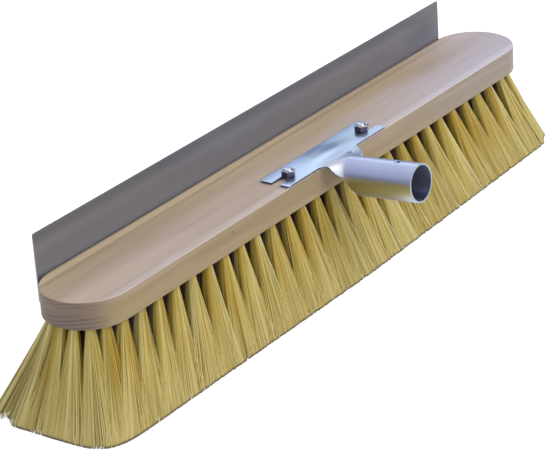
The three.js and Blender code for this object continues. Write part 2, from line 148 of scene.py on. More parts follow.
class BristleSettings(bpy.types.PropertyGroup):
    pitch: length("Tuft pitch", "Distance between two tufts of a row", 20)
    drift: length("Drift", "How far the first tufts of the rows stand to the left of that pitch", 3.5)
    end_pitch: length("End pitch", "Spacing of the tufts round each end", 12.5)
    rows: count("Rows", "Rows of tufts", 5)
    inset: length("Inset", "From the block's side to the middle of the outer tufts", 7)
    ring_gap: length("Ring gap", "Least distance of an inner tuft from the ones round the ends", 13)
    fibres: count("Fibres", "Fibres of one tuft", 230)
    fibre_radius: length("Fibre radius", "Radius of one fibre", 0.29)
    root_radius: length("Root radius", "Radius of a tuft at its hole", 2.9)
    end_inset: length("End inset", "Extra inset of the tufts round the ends", 2.5)
    tip_wide: length("Tip width", "Half width of a tuft at its tips, along the row", 18)
    tip_deep: length("Tip depth", "Half width of a tuft at its tips, across the row", 12)
    push: length("Edge push", "Extra outward travel of the outer tufts at their tips", 4)
    pull: length("Rear pull", "The same inward along the rear row", 5)
    trim: length("Trim", "Outward reach at which the tips of the front row are trimmed", 10)
    rear_trim: length("Rear trim", "The same for the rear row", 1)
    left_trim: length("Left trim", "The same at the left end", 18)
    right_trim: length("Right trim", "The same at the right end", 14)
    root_depth: length("Root depth", "How far the fibres reach into their hole", 6)
    soften: share("Soften", "How far light falls on a tuft as on one cone", 1.9)
    flatten: share("Flatten", "Loss of that cone's roundness towards the tips", 0.6)
    side: share("Side spread", "Outward travel of the tips, as a share of their way from the middle", 1)
    side_fall: share("Side spread fall", "Loss of that share from the middle to the right end", 0.375)
    lean: length("Lean", "Travel of the tips to the left at the middle", 13.5)
    lean_rise: length("Lean rise", "Its loss from the middle to the right end", 30)
    end_forward: length("End forward", "Extra travel forward of the last tips at the left end", 16)
    end_right: length("End right", "The same to the right", 10)
    seed: count("Seed", "Seed of the fibres' irregular lie", 11)
    pale: colour("Pale fibre", "Tone of the lightest fibres", (0.52, 0.44, 0.185))
    straw: colour("Straw fibre", "Tone of most fibres", (0.42, 0.312, 0.067))
    ochre: colour("Ochre fibre", "Tone of the darkest fibres", (0.305, 0.19, 0.018))


class ScraperSettings(bpy.types.PropertyGroup):
    corner: length("Corner", "Rounding of the blade's corners", 1.5)
    hole_radius: length("Hole radius", "Radius of the screw holes", 2.3)
    edge: length("Edge", "Worn rounding of the sheet's edges", 0.15)
    steel: colour("Steel", "Tone of the grey rolled steel", (0.275, 0.272, 0.30))


class ScrewSettings(bpy.types.PropertyGroup):
    shank_radius: length("Shank radius", "Radius of the threaded shank", 2)
    pitch: length("Pitch", "Thread pitch", 1.8)
    head_share: share("Head share", "Share of the screw's length that is its head", 2.6 / 20.6)
    recess: length("Recess", "Length of the cross recess", 4.6)
    steel: colour("Steel", "Tone of the bright screws", (0.58, 0.58, 0.6))


class BracketSettings(bpy.types.PropertyGroup):
    sheet: length("Sheet", "Thickness of the sheet", 1.6)
    plate_width: length("Plate width", "Width of the flat plate", 27)
    plate_corner: length("Plate corner", "Rounding of the plate's corners", 2)
    slot_width: length("Slot width", "Width of the open slots", 8)
    bore: length("Bore", "Inner diameter of the handle socket", 28)
    reach: length("Reach", "From the plate's front edge to the socket's mouth", 74.6)
    tilt: angle("Tilt", "Upward tilt of the socket", 4.9)
    seam: length("Seam", "Width of the open seam under the socket", 0.8)
    neck_width: length("Neck width", "Width of the neck at the plate", 44)
    neck_fillet: length("Neck fillet", "Fillet between the plate and the neck", 5)
    neck_length: length("Neck length", "From the flat plate to the full bend of the tube", 13.5)
    neck_lift: length("Neck lift", "Rise of the sheet's top line over that length", 1.7)
    neck_angle: angle("Neck angle", "How far the sheet reaches round the tube's axis there", 77)
    shoulder: length("Shoulder", "Length of the slanted rear edge of the closed tube", 10)
    fixing_radius: length("Fixing hole", "Radius of the hole for the handle's fixing screw", 2.3)
    fixing_back: length("Fixing place", "From the mouth to that hole", 19.5)
    columns: count("Columns", "Faces across the sheet", 96)
    edge: length("Edge", "Rounding of the sheet's edges", 0.3)
    swell: length("Swell", "Height of the pressed swelling behind the neck", 1.6)
    # The plate's sheared edges are also darkened as painted shade and dark reflection.
    cut: colour("Cut edge", "Tone of the plate's sheared edges", (0.13, 0.13, 0.16))
    zinc: colour("Zinc", "Tone of the bright bluish plating", (0.49, 0.555, 0.73))
    # The inside of the socket gets this darker tone: partly thinner plating, partly painted shade.
    shade: colour("Dull zinc", "Tone of the thinner plating inside the socket", (0.38, 0.41, 0.5))


class FastenerSettings(bpy.types.PropertyGroup):
    stud_radius: length("Stud radius", "Outer radius of the stud's thread", 3)
    pitch: length("Pitch", "Pitch of the metric thread", 1)
    wood_pitch: length("Wood pitch", "Pitch of the thread in the wood", 2.4)
    flats: length("Across flats", "Width of the nut across its flats", 10)
    zinc: colour("Stud zinc", "Tone of the studs", (0.6, 0.61, 0.68))
    dark: colour("Nut zinc", "Tone of the duller nuts", (0.36, 0.365, 0.38))


class StageSettings(bpy.types.PropertyGroup):
    azimuth: angle("Azimuth", "Direction of the camera round the head", -53.27)
    elevation: angle("Elevation", "Height of the camera above the horizon", 24.15)
    roll: angle("Roll", "Turn of the camera about its own line of sight", -3.98)
    distance: length("Distance", "From the camera to its target", 2007.4)
    lens: FloatProperty(name="Lens", description="Focal length in millimetres", default=167.41)
    floor: colour("Floor", "Tone of the plain floor", (0.55, 0.55, 0.55))
    zenith: colour("Zenith", "Tone of the soft light from above", (0.9, 0.94, 1.0))
    horizon: colour("Horizon", "Tone of the soft light from the sides", (0.3, 0.31, 0.36))
    sky: share("Sky", "Strength of the soft light", 1.0)
    key: power("Key light", "Power of the light in front", 73)
    fill: power("Fill light", "Power of the light at the left", 25)
    rim: power("Rim light", "Power of the light behind", 2.4)


SETTINGS = {
    "block": BlockSettings,
    "bristles": BristleSettings,
    "scraper": ScraperSettings,
    "screws": ScrewSettings,
    "bracket": BracketSettings,
    "fasteners": FastenerSettings,
    "stage": StageSettings,
}


class BroomSettings(bpy.types.PropertyGroup):
    __annotations__ = {name: PointerProperty(type=kind) for name, kind in SETTINGS.items()}


# ------------------------------------------------------------------ materials

# Tones of edges, marks, casts and painted light and shade, and what a plating's casts do to its red,
# green and blue.
BLADE_SHADE = (0.13, 0.105, 0.085)
FRONT_EDGE_HIGHLIGHT = (0.6, 0.58, 0.64)
SIDE_FOOT = (0.45, 0.35, 0.2)
SIDE_STREAK = (0.16, 0.1, 0.05)
KNOT = (0.16, 0.09, 0.045)
END_SHADE = (0.125, 0.088, 0.078)
END_LAYER_IN_SHADE = (0.08, 0.052, 0.052)
INNER_ROOT_SHADE = (0.12, 0.065, 0.09)
ROOT_BROWN = (0.2, 0.13, 0.06)
CUT_BROWN = (0.13, 0.095, 0.06)
BLADE_FOOT_LIGHT = (0.315, 0.33, 0.40)
PLATE_REFLECTION = (0.475, 0.6, 0.77)
DARK_REFLECTION = (0.24, 0.36, 0.62)
DEEPER_REFLECTION = (0.13, 0.16, 0.36)
SAWN_MOUTH = (0.27, 0.3, 0.33)
BRISTLE_REFLECTION = (0.58, 0.59, 0.36)
DENT_SHADE = (0.15, 0.18, 0.38)
NECK_HIGHLIGHT = (0.64, 0.65, 0.62)
NUT_FLATS_SHADE = (0.10, 0.085, 0.12)
STRAW_FACTORS = (1.06, 1.02, 0.92)
VIOLET_FACTORS = (0.95, 0.91, 1.02)

# Centres of a knot and of painted reflections, shade and highlight, in millimetres from the middle of the
# block.
KNOT_PLACE = (-137.1, -35, 3.9)
SWELLING_PLACE = (14, -20.5, 0)
DENT_SHADE_PLACE = (14, -39.3, 0)
NECK_PLACE = (-13, -43, 0)


def arithmetic(operation, reflected=False):
    """A method that adds the Math node of an operation, or Vector Math where a value is a vector."""

    def method(self, other):
        values = (other, self) if reflected else (self, other)
        vectors = [v for v in values if isinstance(v, Value) and v.socket.type == "VECTOR"]
        kind = "ShaderNodeVectorMath" if vectors else "ShaderNodeMath"
        return self.finish.node(kind, {"operation": operation}, dict(enumerate(values)))

    return method


class Value:
    """A socket of a material, on which Python's arithmetic adds the Math nodes."""

    def __init__(self, finish, socket):
        self.finish = finish
        self.socket = socket

    __add__, __radd__ = arithmetic("ADD"), arithmetic("ADD", True)
    __sub__, __rsub__ = arithmetic("SUBTRACT"), arithmetic("SUBTRACT", True)
    __mul__, __rmul__ = arithmetic("MULTIPLY"), arithmetic("MULTIPLY", True)
    __truediv__, __rtruediv__ = arithmetic("DIVIDE"), arithmetic("DIVIDE", True)


class Nodes:
    """A node tree, and the few kinds of node that the recipes use."""

    def __init__(self, tree):
        self.tree = tree
        tree.nodes.clear()

    def node(self, kind, settings, inputs, output=0):
        made = self.tree.nodes.new(kind)
        for name, value in settings.items():
            if name == "stops":
                self._set_stops(made.color_ramp, value)
            else:
                setattr(made, name, value)
        for key, value in inputs.items():
            socket = made.inputs[key]
            if isinstance(value, Value):
                self.tree.links.new(value.socket, socket)
            elif socket.type == "RGBA":
                socket.default_value = (*value, 1)
            else:
                socket.default_value = value
        return Value(self, made.outputs[output])

    @staticmethod
    def _set_stops(ramp, stops):
        while len(ramp.elements) < len(stops):
            ramp.elements.new(1)
        for element, (position, tone) in zip(ramp.elements, stops):
            element.position = position
            element.color = (*tone, 1)

    def split(self, vector):
        first = self.node("ShaderNodeSeparateXYZ", {}, {0: vector})
        return [Value(self, output) for output in first.socket.node.outputs]

    def between(self, value, low, high):
        """0 below low, 1 above high, and a soft step between them."""
        inputs = {"Value": value, "From Min": low, "From Max": high}
        return self.node("ShaderNodeMapRange", {"interpolation_type": "SMOOTHSTEP"}, inputs)

    def past(self, value, low, high):
        """The same for a length, with low and high in millimetres."""
        return self.between(value, low * MM, high * MM)

    def mix(self, factor, low, high):
        return self.node("ShaderNodeMix", {"data_type": "RGBA"}, {0: factor, 6: low, 7: high}, 2)

    def maths(self, operation, *values):
        return self.node("ShaderNodeMath", {"operation": operation}, dict(enumerate(values)))

    def end(self, kind, shader):
        output = self.tree.nodes.new(kind)
        self.tree.links.new(shader.socket, output.inputs["Surface"])


class Finish(Nodes):
    """The nodes of one material, with the base tone that its coats build up."""

    def __init__(self, name, tone=None):
        self.material = bpy.data.materials.new(name)
        self.material.use_nodes = True
        super().__init__(self.material.node_tree)
        self.place = self.node("ShaderNodeTexCoord", {}, {}, "Object") - tuple(BLOCK_MIDDLE)
        self.tone = tone

    def _scaled(self, scale):
        if isinstance(scale, tuple):
            return {"Vector": self.place * scale, "Scale": 1}
        return {"Vector": self.place, "Scale": scale}

    def noise(self, scale, detail=2, roughness=0.5):
        """Cloudy noise. Its scale is one number, or one for each axis."""
        inputs = {**self._scaled(scale), "Detail": detail, "Roughness": roughness}
        return self.node("ShaderNodeTexNoise", {}, inputs)

    def cells(self, scale):
        """How far a place is from the nearest of many strewn points."""
        return self.node("ShaderNodeTexVoronoi", {}, self._scaled(scale))

    def facing(self, kind="Normal"):
        return self.split(self.node("ShaderNodeNewGeometry", {}, {}, kind))

    def away(self, centre, reach):
        """How far a place is from a centre, as a multiple of the reach along each axis. Both are
        in millimetres, and an axis of endless reach doesn't count."""
        offset = self.place - tuple(value * MM for value in centre)
        offset = offset * tuple(1 / (value * MM) for value in reach)
        return self.node("ShaderNodeVectorMath", {"operation": "LENGTH"}, {0: offset}, "Value")

    def paint(self, mask, tone):
        """Lays a coat over the base tone where the mask is 1."""
        self.tone = self.mix(mask, self.tone, tone)

    def bump(self, height, strength, depth):
        inputs = {"Height": height, "Strength": strength, "Distance": depth}
        return self.node("ShaderNodeBump", {}, inputs)

    def close(self, **sockets):
        named = {name.replace("_", " "): value for name, value in sockets.items()}
        inputs = {"Base Color": self.tone, **named}
        self.end("ShaderNodeOutputMaterial", self.node("ShaderNodeBsdfPrincipled", {}, inputs))
        return self.material


def brighter(tone, factor):
    """The tone times a factor, which is below 1 for a darker one."""
    return tuple(min(1, value * factor) for value in tone)


def beech(wood):
    """Planed beech: flat growth layers along the board, fine fibres, short dark ray flecks and a
    knot. The board is rosy at the front and tan at the back, and a light strip of younger wood runs
    along the back edge. Painted light and shade: a bluish sheen towards the right end, a highlight along
    the front edge, shade beside the blade, darker sides, a darker left end and a darker underside."""
    finish = Finish("beech", wood.heart)
    between, past, noise, paint = finish.between, finish.past, finish.noise, finish.paint
    x, y, z = finish.split(finish.place)
    facing = finish.facing()
    end_grain = between(finish.maths("ABSOLUTE", facing[0]), 0.3, 0.95)
    aside = 1 - between(facing[2], 0.15, 0.6)
    wander = noise((2.2, 16, 16)) - 0.5
    broad = noise((5, 30, 30))
    grain = noise((9, 240, 240), 3, 0.6)
    fibres = noise((30, 700, 700), 4, 0.62)

    layer = (z + y * 0.1 + x * 0.006 + wander * (9 * MM)) / wood.layer
    uneven = noise((3, 3, 150), 1)
    wave = finish.maths("SINE", layer * (2 * math.pi) + uneven * 5) * 0.5 + 0.5
    late = between(wave, 0.45, 0.95) * between(uneven, 0.3, 0.55)

    tan_way = y + broad * (30 * MM) + wander * (20 * MM)
    tan = past(tan_way, -2, 32) * (1 - past(x, 170, 300) * 0.65)
    paint(tan, wood.sap)
    paint(between(noise((9, 55, 55), 3, 0.55), 0.48, 0.72) * 0.4, wood.sap)
    streak = noise((3.5, 70, 70), 3, 0.6)
    paint(between(streak, 0.48, 0.7) * 0.35, wood.strip)
    paint((1 - between(streak, 0.3, 0.5)) * 0.25, wood.late)
    # Painted sheen: the top turns bluish towards the right end, standing in for a reflection of bluish
    # light.
    bluish_sheen = past(x, -50, 300)
    paint(bluish_sheen * 0.8 * (1 - tan), wood.bluish_sheen)

    bow = past(x, -290, -160) * (1.2 * MM) + past(x, -60, 80) * (2 * MM)
    past_border = y - (bow + wander * (4 * MM) + 25 * MM)
    line = 1 - past(finish.maths("ABSOLUTE", past_border + 1.6 * MM), 0.3, 2.6)
    paint(line * 0.26 * (1 - past(x, 200, 260)), wood.late)
    strip = past(past_border, -0.8, 2.2) * (1 - past(x, 0, 100) * 0.45)
    paint(strip * 0.75, wood.strip)
    # Painted shade along the back edge of the top, beside the blade.
    paint(past(y, 31.6, 34) * 0.62, BLADE_SHADE)
    # Painted highlight along the front edge of the top, stronger where the bluish sheen is.
    paint((1 - past(y, -31, -26)) * (0.2 + bluish_sheen * 0.2), FRONT_EDGE_HIGHLIGHT)

    # Painted shade: the sides get a darker tone than the top, cooler towards the right end.
    paint(aside, finish.mix(past(x, 0, 280), wood.side, wood.far_side_shade))
    paint(aside * (1 - past(z, -9, 6)) * 0.12, SIDE_FOOT)
    paint(between(noise((6, 40, 90)), 0.45, 0.7) * aside * 0.25, wood.heart)
    side_streak = 1 - between(noise((5, 60, 170), 3, 0.6), 0.32, 0.52)
    paint(side_streak * aside * 0.3, SIDE_STREAK)

    paint(late * 0.08, wood.late)
    paint(between(grain, 0.5, 0.8) * 0.2, wood.late)
    paint(between(fibres, 0.5, 0.85) * 0.22, wood.late)
    rays = 1 - between(finish.cells((190, 1500, 1500)), 0.10, 0.24)
    fleck = rays * between(noise((60, 260, 260), 1), 0.5, 0.62)
    paint(fleck * 0.4, wood.late)
    knot_away = finish.away(KNOT_PLACE, (1 / 0.6, 1, 1)) + wander * 4
    paint((1 - between(knot_away, 0.5, 2.6)) * 0.65, KNOT)

    # Painted shade on the end faces, mostly the left one, darker towards the bottom; the growth layers
    # are drawn darker within it.
    lower = 1 - past(z, -6, 4)
    dull = end_grain * aside * (1 - past(x, -200, 200) * 0.7)
    paint(dull * (0.68 + lower * 0.15), END_SHADE)
    paint(dull * late * (0.5 + lower * 0.25), END_LAYER_IN_SHADE)
    # Painted shade on the faces that look down.
    paint((1 - between(facing[2], -0.95, -0.5)) * 0.3, wood.late)
    return finish.close(
        Roughness=0.5 + noise(26, 3, 0.6) * 0.16 - late * 0.05,
        Normal=finish.bump(fibres * 0.5 + grain * 0.6 - fleck * 0.5 - late * 0.25, 0.35, 0.12 * MM),
        Specular_IOR_Level=0.4,
    )


def plant_fibre(tuft):
    """Pale plant fibre: every fibre has its own tone, which also carries painted highlights on the
    tufts' lit sides. Inner tufts are painted dark purple-brown near their roots as shade, and the fibres
    are darker just above their cut ends."""
    finish = Finish("plant_fibre")
    between, paint = finish.between, finish.paint
    own, along, inner = (
        finish.node("ShaderNodeAttribute", {"attribute_name": name}, {}, "Fac")
        for name in ("fibre_tone", "fibre_along", "fibre_inner")
    )
    streak = finish.noise((900, 900, 45), 3, 0.6)
    tone = own + (streak - 0.5) * 0.2 + (finish.noise(30) - 0.5) * 0.3
    stops = [(0.15, tuft.ochre), (0.5, tuft.straw), (0.85, tuft.pale)]
    finish.tone = finish.node("ShaderNodeValToRGB", {"stops": stops}, {0: tone})
    paint(between(along, 0.35, 0.95) * 0.4, tuft.pale)
    # Painted shade: dark purple-brown on the inner tufts' upper parts.
    paint((1 - between(along, 0.22, 0.68)) * inner * 0.9, INNER_ROOT_SHADE)
    paint((1 - between(along, 0, 0.05)) * 0.35, ROOT_BROWN)
    end_face = 1 - between(finish.facing("True Normal")[2], -0.9, -0.6)
    cut = between(along, 0.972, 0.992) * (1 - inner * 0.8)
    paint(cut * (0.9 - end_face * 0.6), CUT_BROWN)
    return finish.close(
        Roughness=0.5 + streak * 0.2,
        Normal=finish.bump(streak, 0.25, 0.05 * MM),
        Specular_IOR_Level=0.3,
    )


def rolled_steel(steel):
    """Satin grey steel sheet with rolling lines, faint scratches and dull blotches. It is painted
    darker along its upper edge and at its right end as shade, and lighter and cooler at its foot as
    painted light."""
    finish = Finish("grey_steel", steel)
    between, past, paint = finish.between, finish.past, finish.paint
    x, _, z = finish.split(finish.place)
    lines = finish.noise((14, 900, 900), 4, 0.65)
    blotch = finish.noise(19, 4, 0.6)
    scratch = 1 - between(finish.cells((55, 900, 900)), 0.02, 0.09)
    scratch = scratch * between(blotch, 0.45, 0.65)
    darker = brighter(steel, 0.78)
    paint(0.2, finish.mix(between(lines, 0.3, 0.7), darker, brighter(steel, 1.22)))
    paint(between(blotch, 0.55, 0.8) * 0.3, darker)
    paint(scratch * 0.4, brighter(steel, 1.7))
    # Painted shade along the upper edge and at the right end.
    rim = past(z, 32, 43) + past(x, 200, 250) * 0.8
    paint(finish.maths("MINIMUM", rim, 1) * 0.8, brighter(steel, 0.6))
    # Painted light: the foot is lighter and cooler.
    paint((1 - past(z, 12, 30)) * 0.8, BLADE_FOOT_LIGHT)
    return finish.close(
        Metallic=1,
        Roughness=0.44 + lines * 0.1 + blotch * 0.1 - scratch * 0.12,
        Normal=finish.bump(lines + scratch * 0.6, 0.1, 0.03 * MM),
    )


def paint_bracket_casts_and_light(finish):
    """The bracket's plating and its painted light: the plate painted lighter and more cyan as a
    reflection, dark blue reflections painted where the swelling was pressed and along the rear edge, a
    darker cut end at the mouth, the socket's lower half painted straw as the bristles' reflection,
    painted shade in the dent beside the neck, and a pale painted highlight on the neck. Gives back where
    the neck is."""
    between, past, paint = finish.between, finish.past, finish.paint
    x, y, z = finish.split(finish.place)
    _, forward, upward = finish.facing()
    on_plate = past(y, -42, -33)
    # Painted reflection: the plate is lighter and more cyan.
    paint(on_plate * 0.85, PLATE_REFLECTION)
    # Painted reflection: dark blue where the swelling tilts the plate and along the rear edge, darkest in
    # the middle of it.
    swelling = 1 - between(finish.away(SWELLING_PLACE, (12, 6, math.inf)), 0.1, 1.5)
    paint(swelling * 0.9, DARK_REFLECTION)
    rear = past(y, -17, -11.5)
    paint(rear * 0.55, DARK_REFLECTION)
    central = 1 - past(finish.maths("ABSOLUTE", x - 5 * MM), 5, 22)
    paint(rear * central * 0.6, DEEPER_REFLECTION)
    sawn = (1 - between(forward, -0.95, -0.7)) * (1 - past(y, -100, -90))
    paint(sawn * 0.7, SAWN_MOUTH)
    # Painted reflection of the bristles on the socket's lower half.
    under = (1 - between(upward, 0.12, 0.4)) * between(upward, -0.8, -0.35)
    under = under * (1 - on_plate) * between(forward, -0.6, -0.3) * (1 - past(z, 12, 15))
    paint(under * 0.8, BRISTLE_REFLECTION)
    # Painted shade in the dent beside the neck.
    dent_shade = 1 - between(finish.away(DENT_SHADE_PLACE, (1, 1, math.inf)), 1, 3.4)
    paint(dent_shade * 0.75, DENT_SHADE)
    # Painted highlight: the neck is paler there, and is made rougher where the highlight is.
    neck_highlight = 1 - between(finish.away(NECK_PLACE, (13, 10, math.inf)), 0.3, 1.4)
    paint(neck_highlight * 0.6, NECK_HIGHLIGHT)
    return neck_highlight


def zinc_plate(name, zinc, dull, gloss=0.27, pressed=False, sides=None):
    """Bright zinc plating: faint violet and straw casts, fine drawing lines, small rub marks."""
    finish = Finish(name)
    between, noise, paint = finish.between, finish.noise, finish.paint
    cloud = noise(55, 3, 0.55)
    fine = noise(1400, 3, 0.7)
    lines = noise((700, 40, 700), 3, 0.6)
    rub = 1 - between(finish.cells((260, 900, 600)), 0.04, 0.14)
    rub = rub * between(cloud, 0.5, 0.66)
    straw = tuple(value * factor for value, factor in zip(zinc, STRAW_FACTORS))
    violet = tuple(value * factor for value, factor in zip(zinc, VIOLET_FACTORS))
    finish.tone = finish.mix(between(noise(23), 0.35, 0.7), violet, zinc)
    paint(between(cloud, 0.5, 0.8) * 0.5, straw)
    paint(between(fine, 0.5, 0.8) * 0.18, dull)
    paint(rub * 0.35, brighter(zinc, 0.6))
    # The bracket gets its painted reflections, shade and highlight, and is rougher where the neck's
    # highlight is.
    if pressed:
        gloss = gloss + paint_bracket_casts_and_light(finish) * 0.3
    # Painted shade: the faces that look sideways get a dark tone.
    if sides:
        paint(1 - between(finish.facing()[2], 0.3, 0.75), sides)
    return finish.close(
        Metallic=1,
        Roughness=gloss + cloud * 0.06 + fine * 0.04 + rub * 0.1,
        Normal=finish.bump(fine * 0.3 + lines * 0.3 + cloud * 0.3, 0.06, 0.05 * MM),
    )


def plain_floor(tone):
    """A white sheet, lit a little from below so that shadows stay faint."""
    finish = Finish("pale_floor", brighter(tone, 0.985))
    finish.paint(finish.noise(120, 3), tone)
    return finish.close(Roughness=0.9, Emission_Color=(1, 1, 1), Emission_Strength=0.65)


# ------------------------------------------------------------------ meshes


class Shape:
    """Points and faces of a mesh, gathered part by part."""

    def __init__(self):
        self.points = []
        self.faces = []

    def add(self, points, faces, place=None):
        start = len(self.points)
        moved = (Vector(point) if place is None else place @ Vector(point) for point in points)
        self.points.extend(moved)
        self.faces.extend(tuple(start + corner for corner in face) for face in faces)
        return self

    def add_rings(self, rings, joined=False, place=None):
        """Rings of equally many points, seen counterclockwise from where the next ring lies.
        Joined rings close on themselves like a doughnut, and others end in caps."""
        size = len(rings[0])
        last = len(rings) - 1
        faces = []
        for row in range(last + joined):
            low, high = row * size, (row + 1) % len(rings) * size
            for i in range(size):
                j = (i + 1) % size
                faces.append((low + i, low + j, high + j, high + i))
        if not joined:
            faces.append(tuple(reversed(range(size))))
            faces.append(tuple(last * size + i for i in range(size)))
        return self.add([point for ring in rings for point in ring], faces, place)

    def add_rod(self, radius, bottom, top, segments, place=None):
        rings = [circle(radius, height, segments) for height in (bottom, top)]
        return self.add_rings(rings, place=place)

    def to_object(self, name):
        mesh = bpy.data.meshes.new(name)
        mesh.from_pydata(self.points, [], self.faces)
        mesh.update()
        made = bpy.data.objects.new(name, mesh)
        bpy.context.scene.collection.objects.link(made)
        return made


def circle(radius, height, segments):
    turns = [2 * math.pi * i / segments for i in range(segments)]
    return [Vector((radius * math.cos(a), radius * math.sin(a), height)) for a in turns]


def upright(x, y):
    """Puts a piece made round the vertical axis there."""
    return Matrix.Translation((x, y, 0))


def lying(x, y, z):
    """Turns a piece made upright so that its top points to the back, and puts it there."""
    return Matrix.Translation((x, y, z)) @ Matrix.Rotation(-QUARTER, 4, "X")


def settle(piece):
    """Replaces the piece's mesh by what its modifiers make of it."""
    graph = bpy.context.evaluated_depsgraph_get()
    before = piece.data
    piece.data = bpy.data.meshes.new_from_object(
        piece.evaluated_get(graph), preserve_all_data_layers=True, depsgraph=graph
    )
    piece.modifiers.clear()
    piece.data.name = piece.name
    bpy.data.meshes.remove(before)


def carve(piece, tool):
    """Cuts the tool's shape out of the piece."""
    cut = piece.modifiers.new("Cut", "BOOLEAN")
    cut.operation = "DIFFERENCE"
    cut.solver = "EXACT"
    cut.object = tool
    settle(piece)
    bpy.data.objects.remove(tool)


def smooth(piece, edge=0.0, limit=35):
    """Rounds the edges sharper than the limit by that radius, and shades the rest smooth."""
    if edge:
        bevel = piece.modifiers.new("Edge", "BEVEL")
        bevel.width = edge
        bevel.segments = 2
        bevel.limit_method = "ANGLE"
        bevel.angle_limit = math.radians(limit)
        bevel.use_clamp_overlap = False
        settle(piece)
    piece.data.shade_smooth()
    piece.data.set_sharp_from_angle(angle=math.radians(limit))
    weights = piece.modifiers.new("Face weights", "WEIGHTED_NORMAL")
    weights.keep_sharp = True
    settle(piece)


def finish_piece(piece, slot, materials, *nodes):
    """Gives the piece its finish and puts it on the frame in place of these CAD nodes."""
    for material in materials:
        piece.data.materials.append(material)
    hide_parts(*nodes)
    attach(piece, BODY)
    return piece


def thread_rings(outline, pitch, depth, bottom, top, columns=28):
    """Rings of a threaded shaft. The outline holds (height, radius) pairs from the bottom up, and
    the thread runs between two of its heights."""
    heights = [h for h, _ in outline]
    radii = [r for _, r in outline]
    steps = max(2, round((top - bottom) / pitch * 8))
    levels = sorted({*heights, *np.linspace(bottom, top, steps)})
    rings = []
    for level in levels:
        limit = float(np.interp(level, heights, radii))
        ring = []
        for i in range(columns):
            turn = i / columns
            groove = depth * abs(2 * ((level / pitch - turn) % 1) - 1)
            crest = max(radii) - groove if bottom <= level <= top else limit
            radius = min(limit, crest)
            a = 2 * math.pi * turn
            ring.append(Vector((radius * math.cos(a), radius * math.sin(a), level)))
        rings.append(ring)
    return rings


# ------------------------------------------------------------------ wooden block


def block_outline(inset, segments):
    """The block's outline round its middle, drawn in by that much, counterclockwise from above."""
    radius = BLOCK_WIDTH / 2 - inset
    points = []
    for side in (1, -1):
        for i in range(segments + 1):
            a = math.pi * (i / segments - 0.5) + (0 if side > 0 else math.pi)
            points.append((side * STRAIGHT_HALF + radius * math.cos(a), radius * math.sin(a)))
    return points


def block_ring(inset, height, segments):
    outline = block_outline(inset, segments)
    return [Vector((BLOCK_MIDDLE.x + x, BLOCK_MIDDLE.y + y, height)) for x, y in outline]


def build_block(wood, tuft):
    edge = wood.edge
    turns = [QUARTER * i / 4 for i in range(5)]
    lower = [(edge * (1 - math.sin(a)), UNDERSIDE + edge * (1 - math.cos(a))) for a in turns]
    upper = [(edge * (1 - math.cos(a)), TOP - edge * (1 - math.sin(a))) for a in turns]
    rings = [block_ring(inset, height, wood.end_segments) for inset, height in lower + upper]
    block = Shape().add_rings(rings).to_object("beech_block")
    holes = Shape()
    for x, y in tuft_places(tuft):
        below, end = UNDERSIDE - RUN_UP, UNDERSIDE + wood.hole_depth
        place = upright(BLOCK_MIDDLE.x + x, BLOCK_MIDDLE.y + y)
        holes.add_rod(wood.hole_radius, below, end, SMALL_HOLE_SEGMENTS, place)
    for node in STUD_NODES:
        low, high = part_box(node)
        place = upright(middle(node).x, middle(node).y)
        radius = (high.x - low.x) / 2 + CLEARANCE
        holes.add_rod(radius, low.z - CLEARANCE, TOP + RUN_UP, SHANK_SEGMENTS, place)
    for node in SCREW_NODES:
        low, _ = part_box(node)
        depth = BLOCK_HIGH.y - low.y + CLEARANCE
        place = lying(middle(node).x, BLOCK_HIGH.y, middle(node).z)
        holes.add_rod(SCREW_HOLE_RADIUS, -depth, RUN_UP, SMALL_HOLE_SEGMENTS, place)
    carve(block, holes.to_object("block_holes"))
    smooth(block)
    finish_piece(block, "beech", [beech(wood)], "wooden_block")


# ------------------------------------------------------------------ bristles

# The outline of the trimmed tips at the left and the right end, round the block's middle: the
# side, the middle of the rounding, its reach along and across, and how square it is.
TRIMMED_ENDS = (
    (-1, (-255 * MM, -5 * MM), (80 * MM, 61.5 * MM), 5.5),
    (1, (262 * MM, 0 * MM), (59 * MM, 58 * MM), 2.7),
)

# What sets the three kinds of tuft apart: fibres as a multiple of the usual number, how far a
# clump's fibres stray round the tuft and out from its middle, width at the tips, and how far the
# tip of one fibre strays from its place.
ARC_TUFT = (1.9, 1.4, 0.32, 0.86, 1.1 * MM)
EDGE_TUFT = (1.35, 0.75, 0.24, 1, 0.7 * MM)
INNER_TUFT = (0.55, 0.75, 0.24, 1, 0.7 * MM)

# The clumps of a tuft, the turn from one to the next, the share of fibres that stray further and
# how much further, and a turn that is long enough for a random start.
CLUMPS = 11
CLUMP_TURN = 2.4
STRAY_SHARE = 0.015
STRAY_FURTHER = 2.5
FULL_TURN = 6.28

# How widely the tips of a clump and of a whole tuft stray, the trimmed line, the sway along a
# fibre, and the height of the tips above the floor.
CLUMP_SLIP = 0.45 * MM
TUFT_SLIP = 1.2 * MM
TRIM_SPREAD = 0.3 * MM
SWAY = 0.25 * MM
TIP_RISE = 0.2 * MM

# Ranges of a tuft's width and of a fibre's thickness, and how much a fibre thickens downwards.
WIDTHS = (0.93, 1.07)
THICKNESSES = (0.8, 1.15)
THICKENING = 0.12

# How widely the tone varies from clump to clump, tuft to tuft and fibre to fibre.
CLUMP_TONE = 0.17
TUFT_TONE = 0.05
FIBRE_TONE = 0.19

TINY = 1e-6


def outer_row(tuft):
    """How far the outer rows stand from the block's middle."""
    return BLOCK_WIDTH / 2 - tuft.inset


def row_height(tuft, row):
    outer = outer_row(tuft)
    return -outer + row * 2 * outer / (tuft.rows - 1)


def row_shift(tuft, row):
    return tuft.pitch / 2 if row % 2 else 0


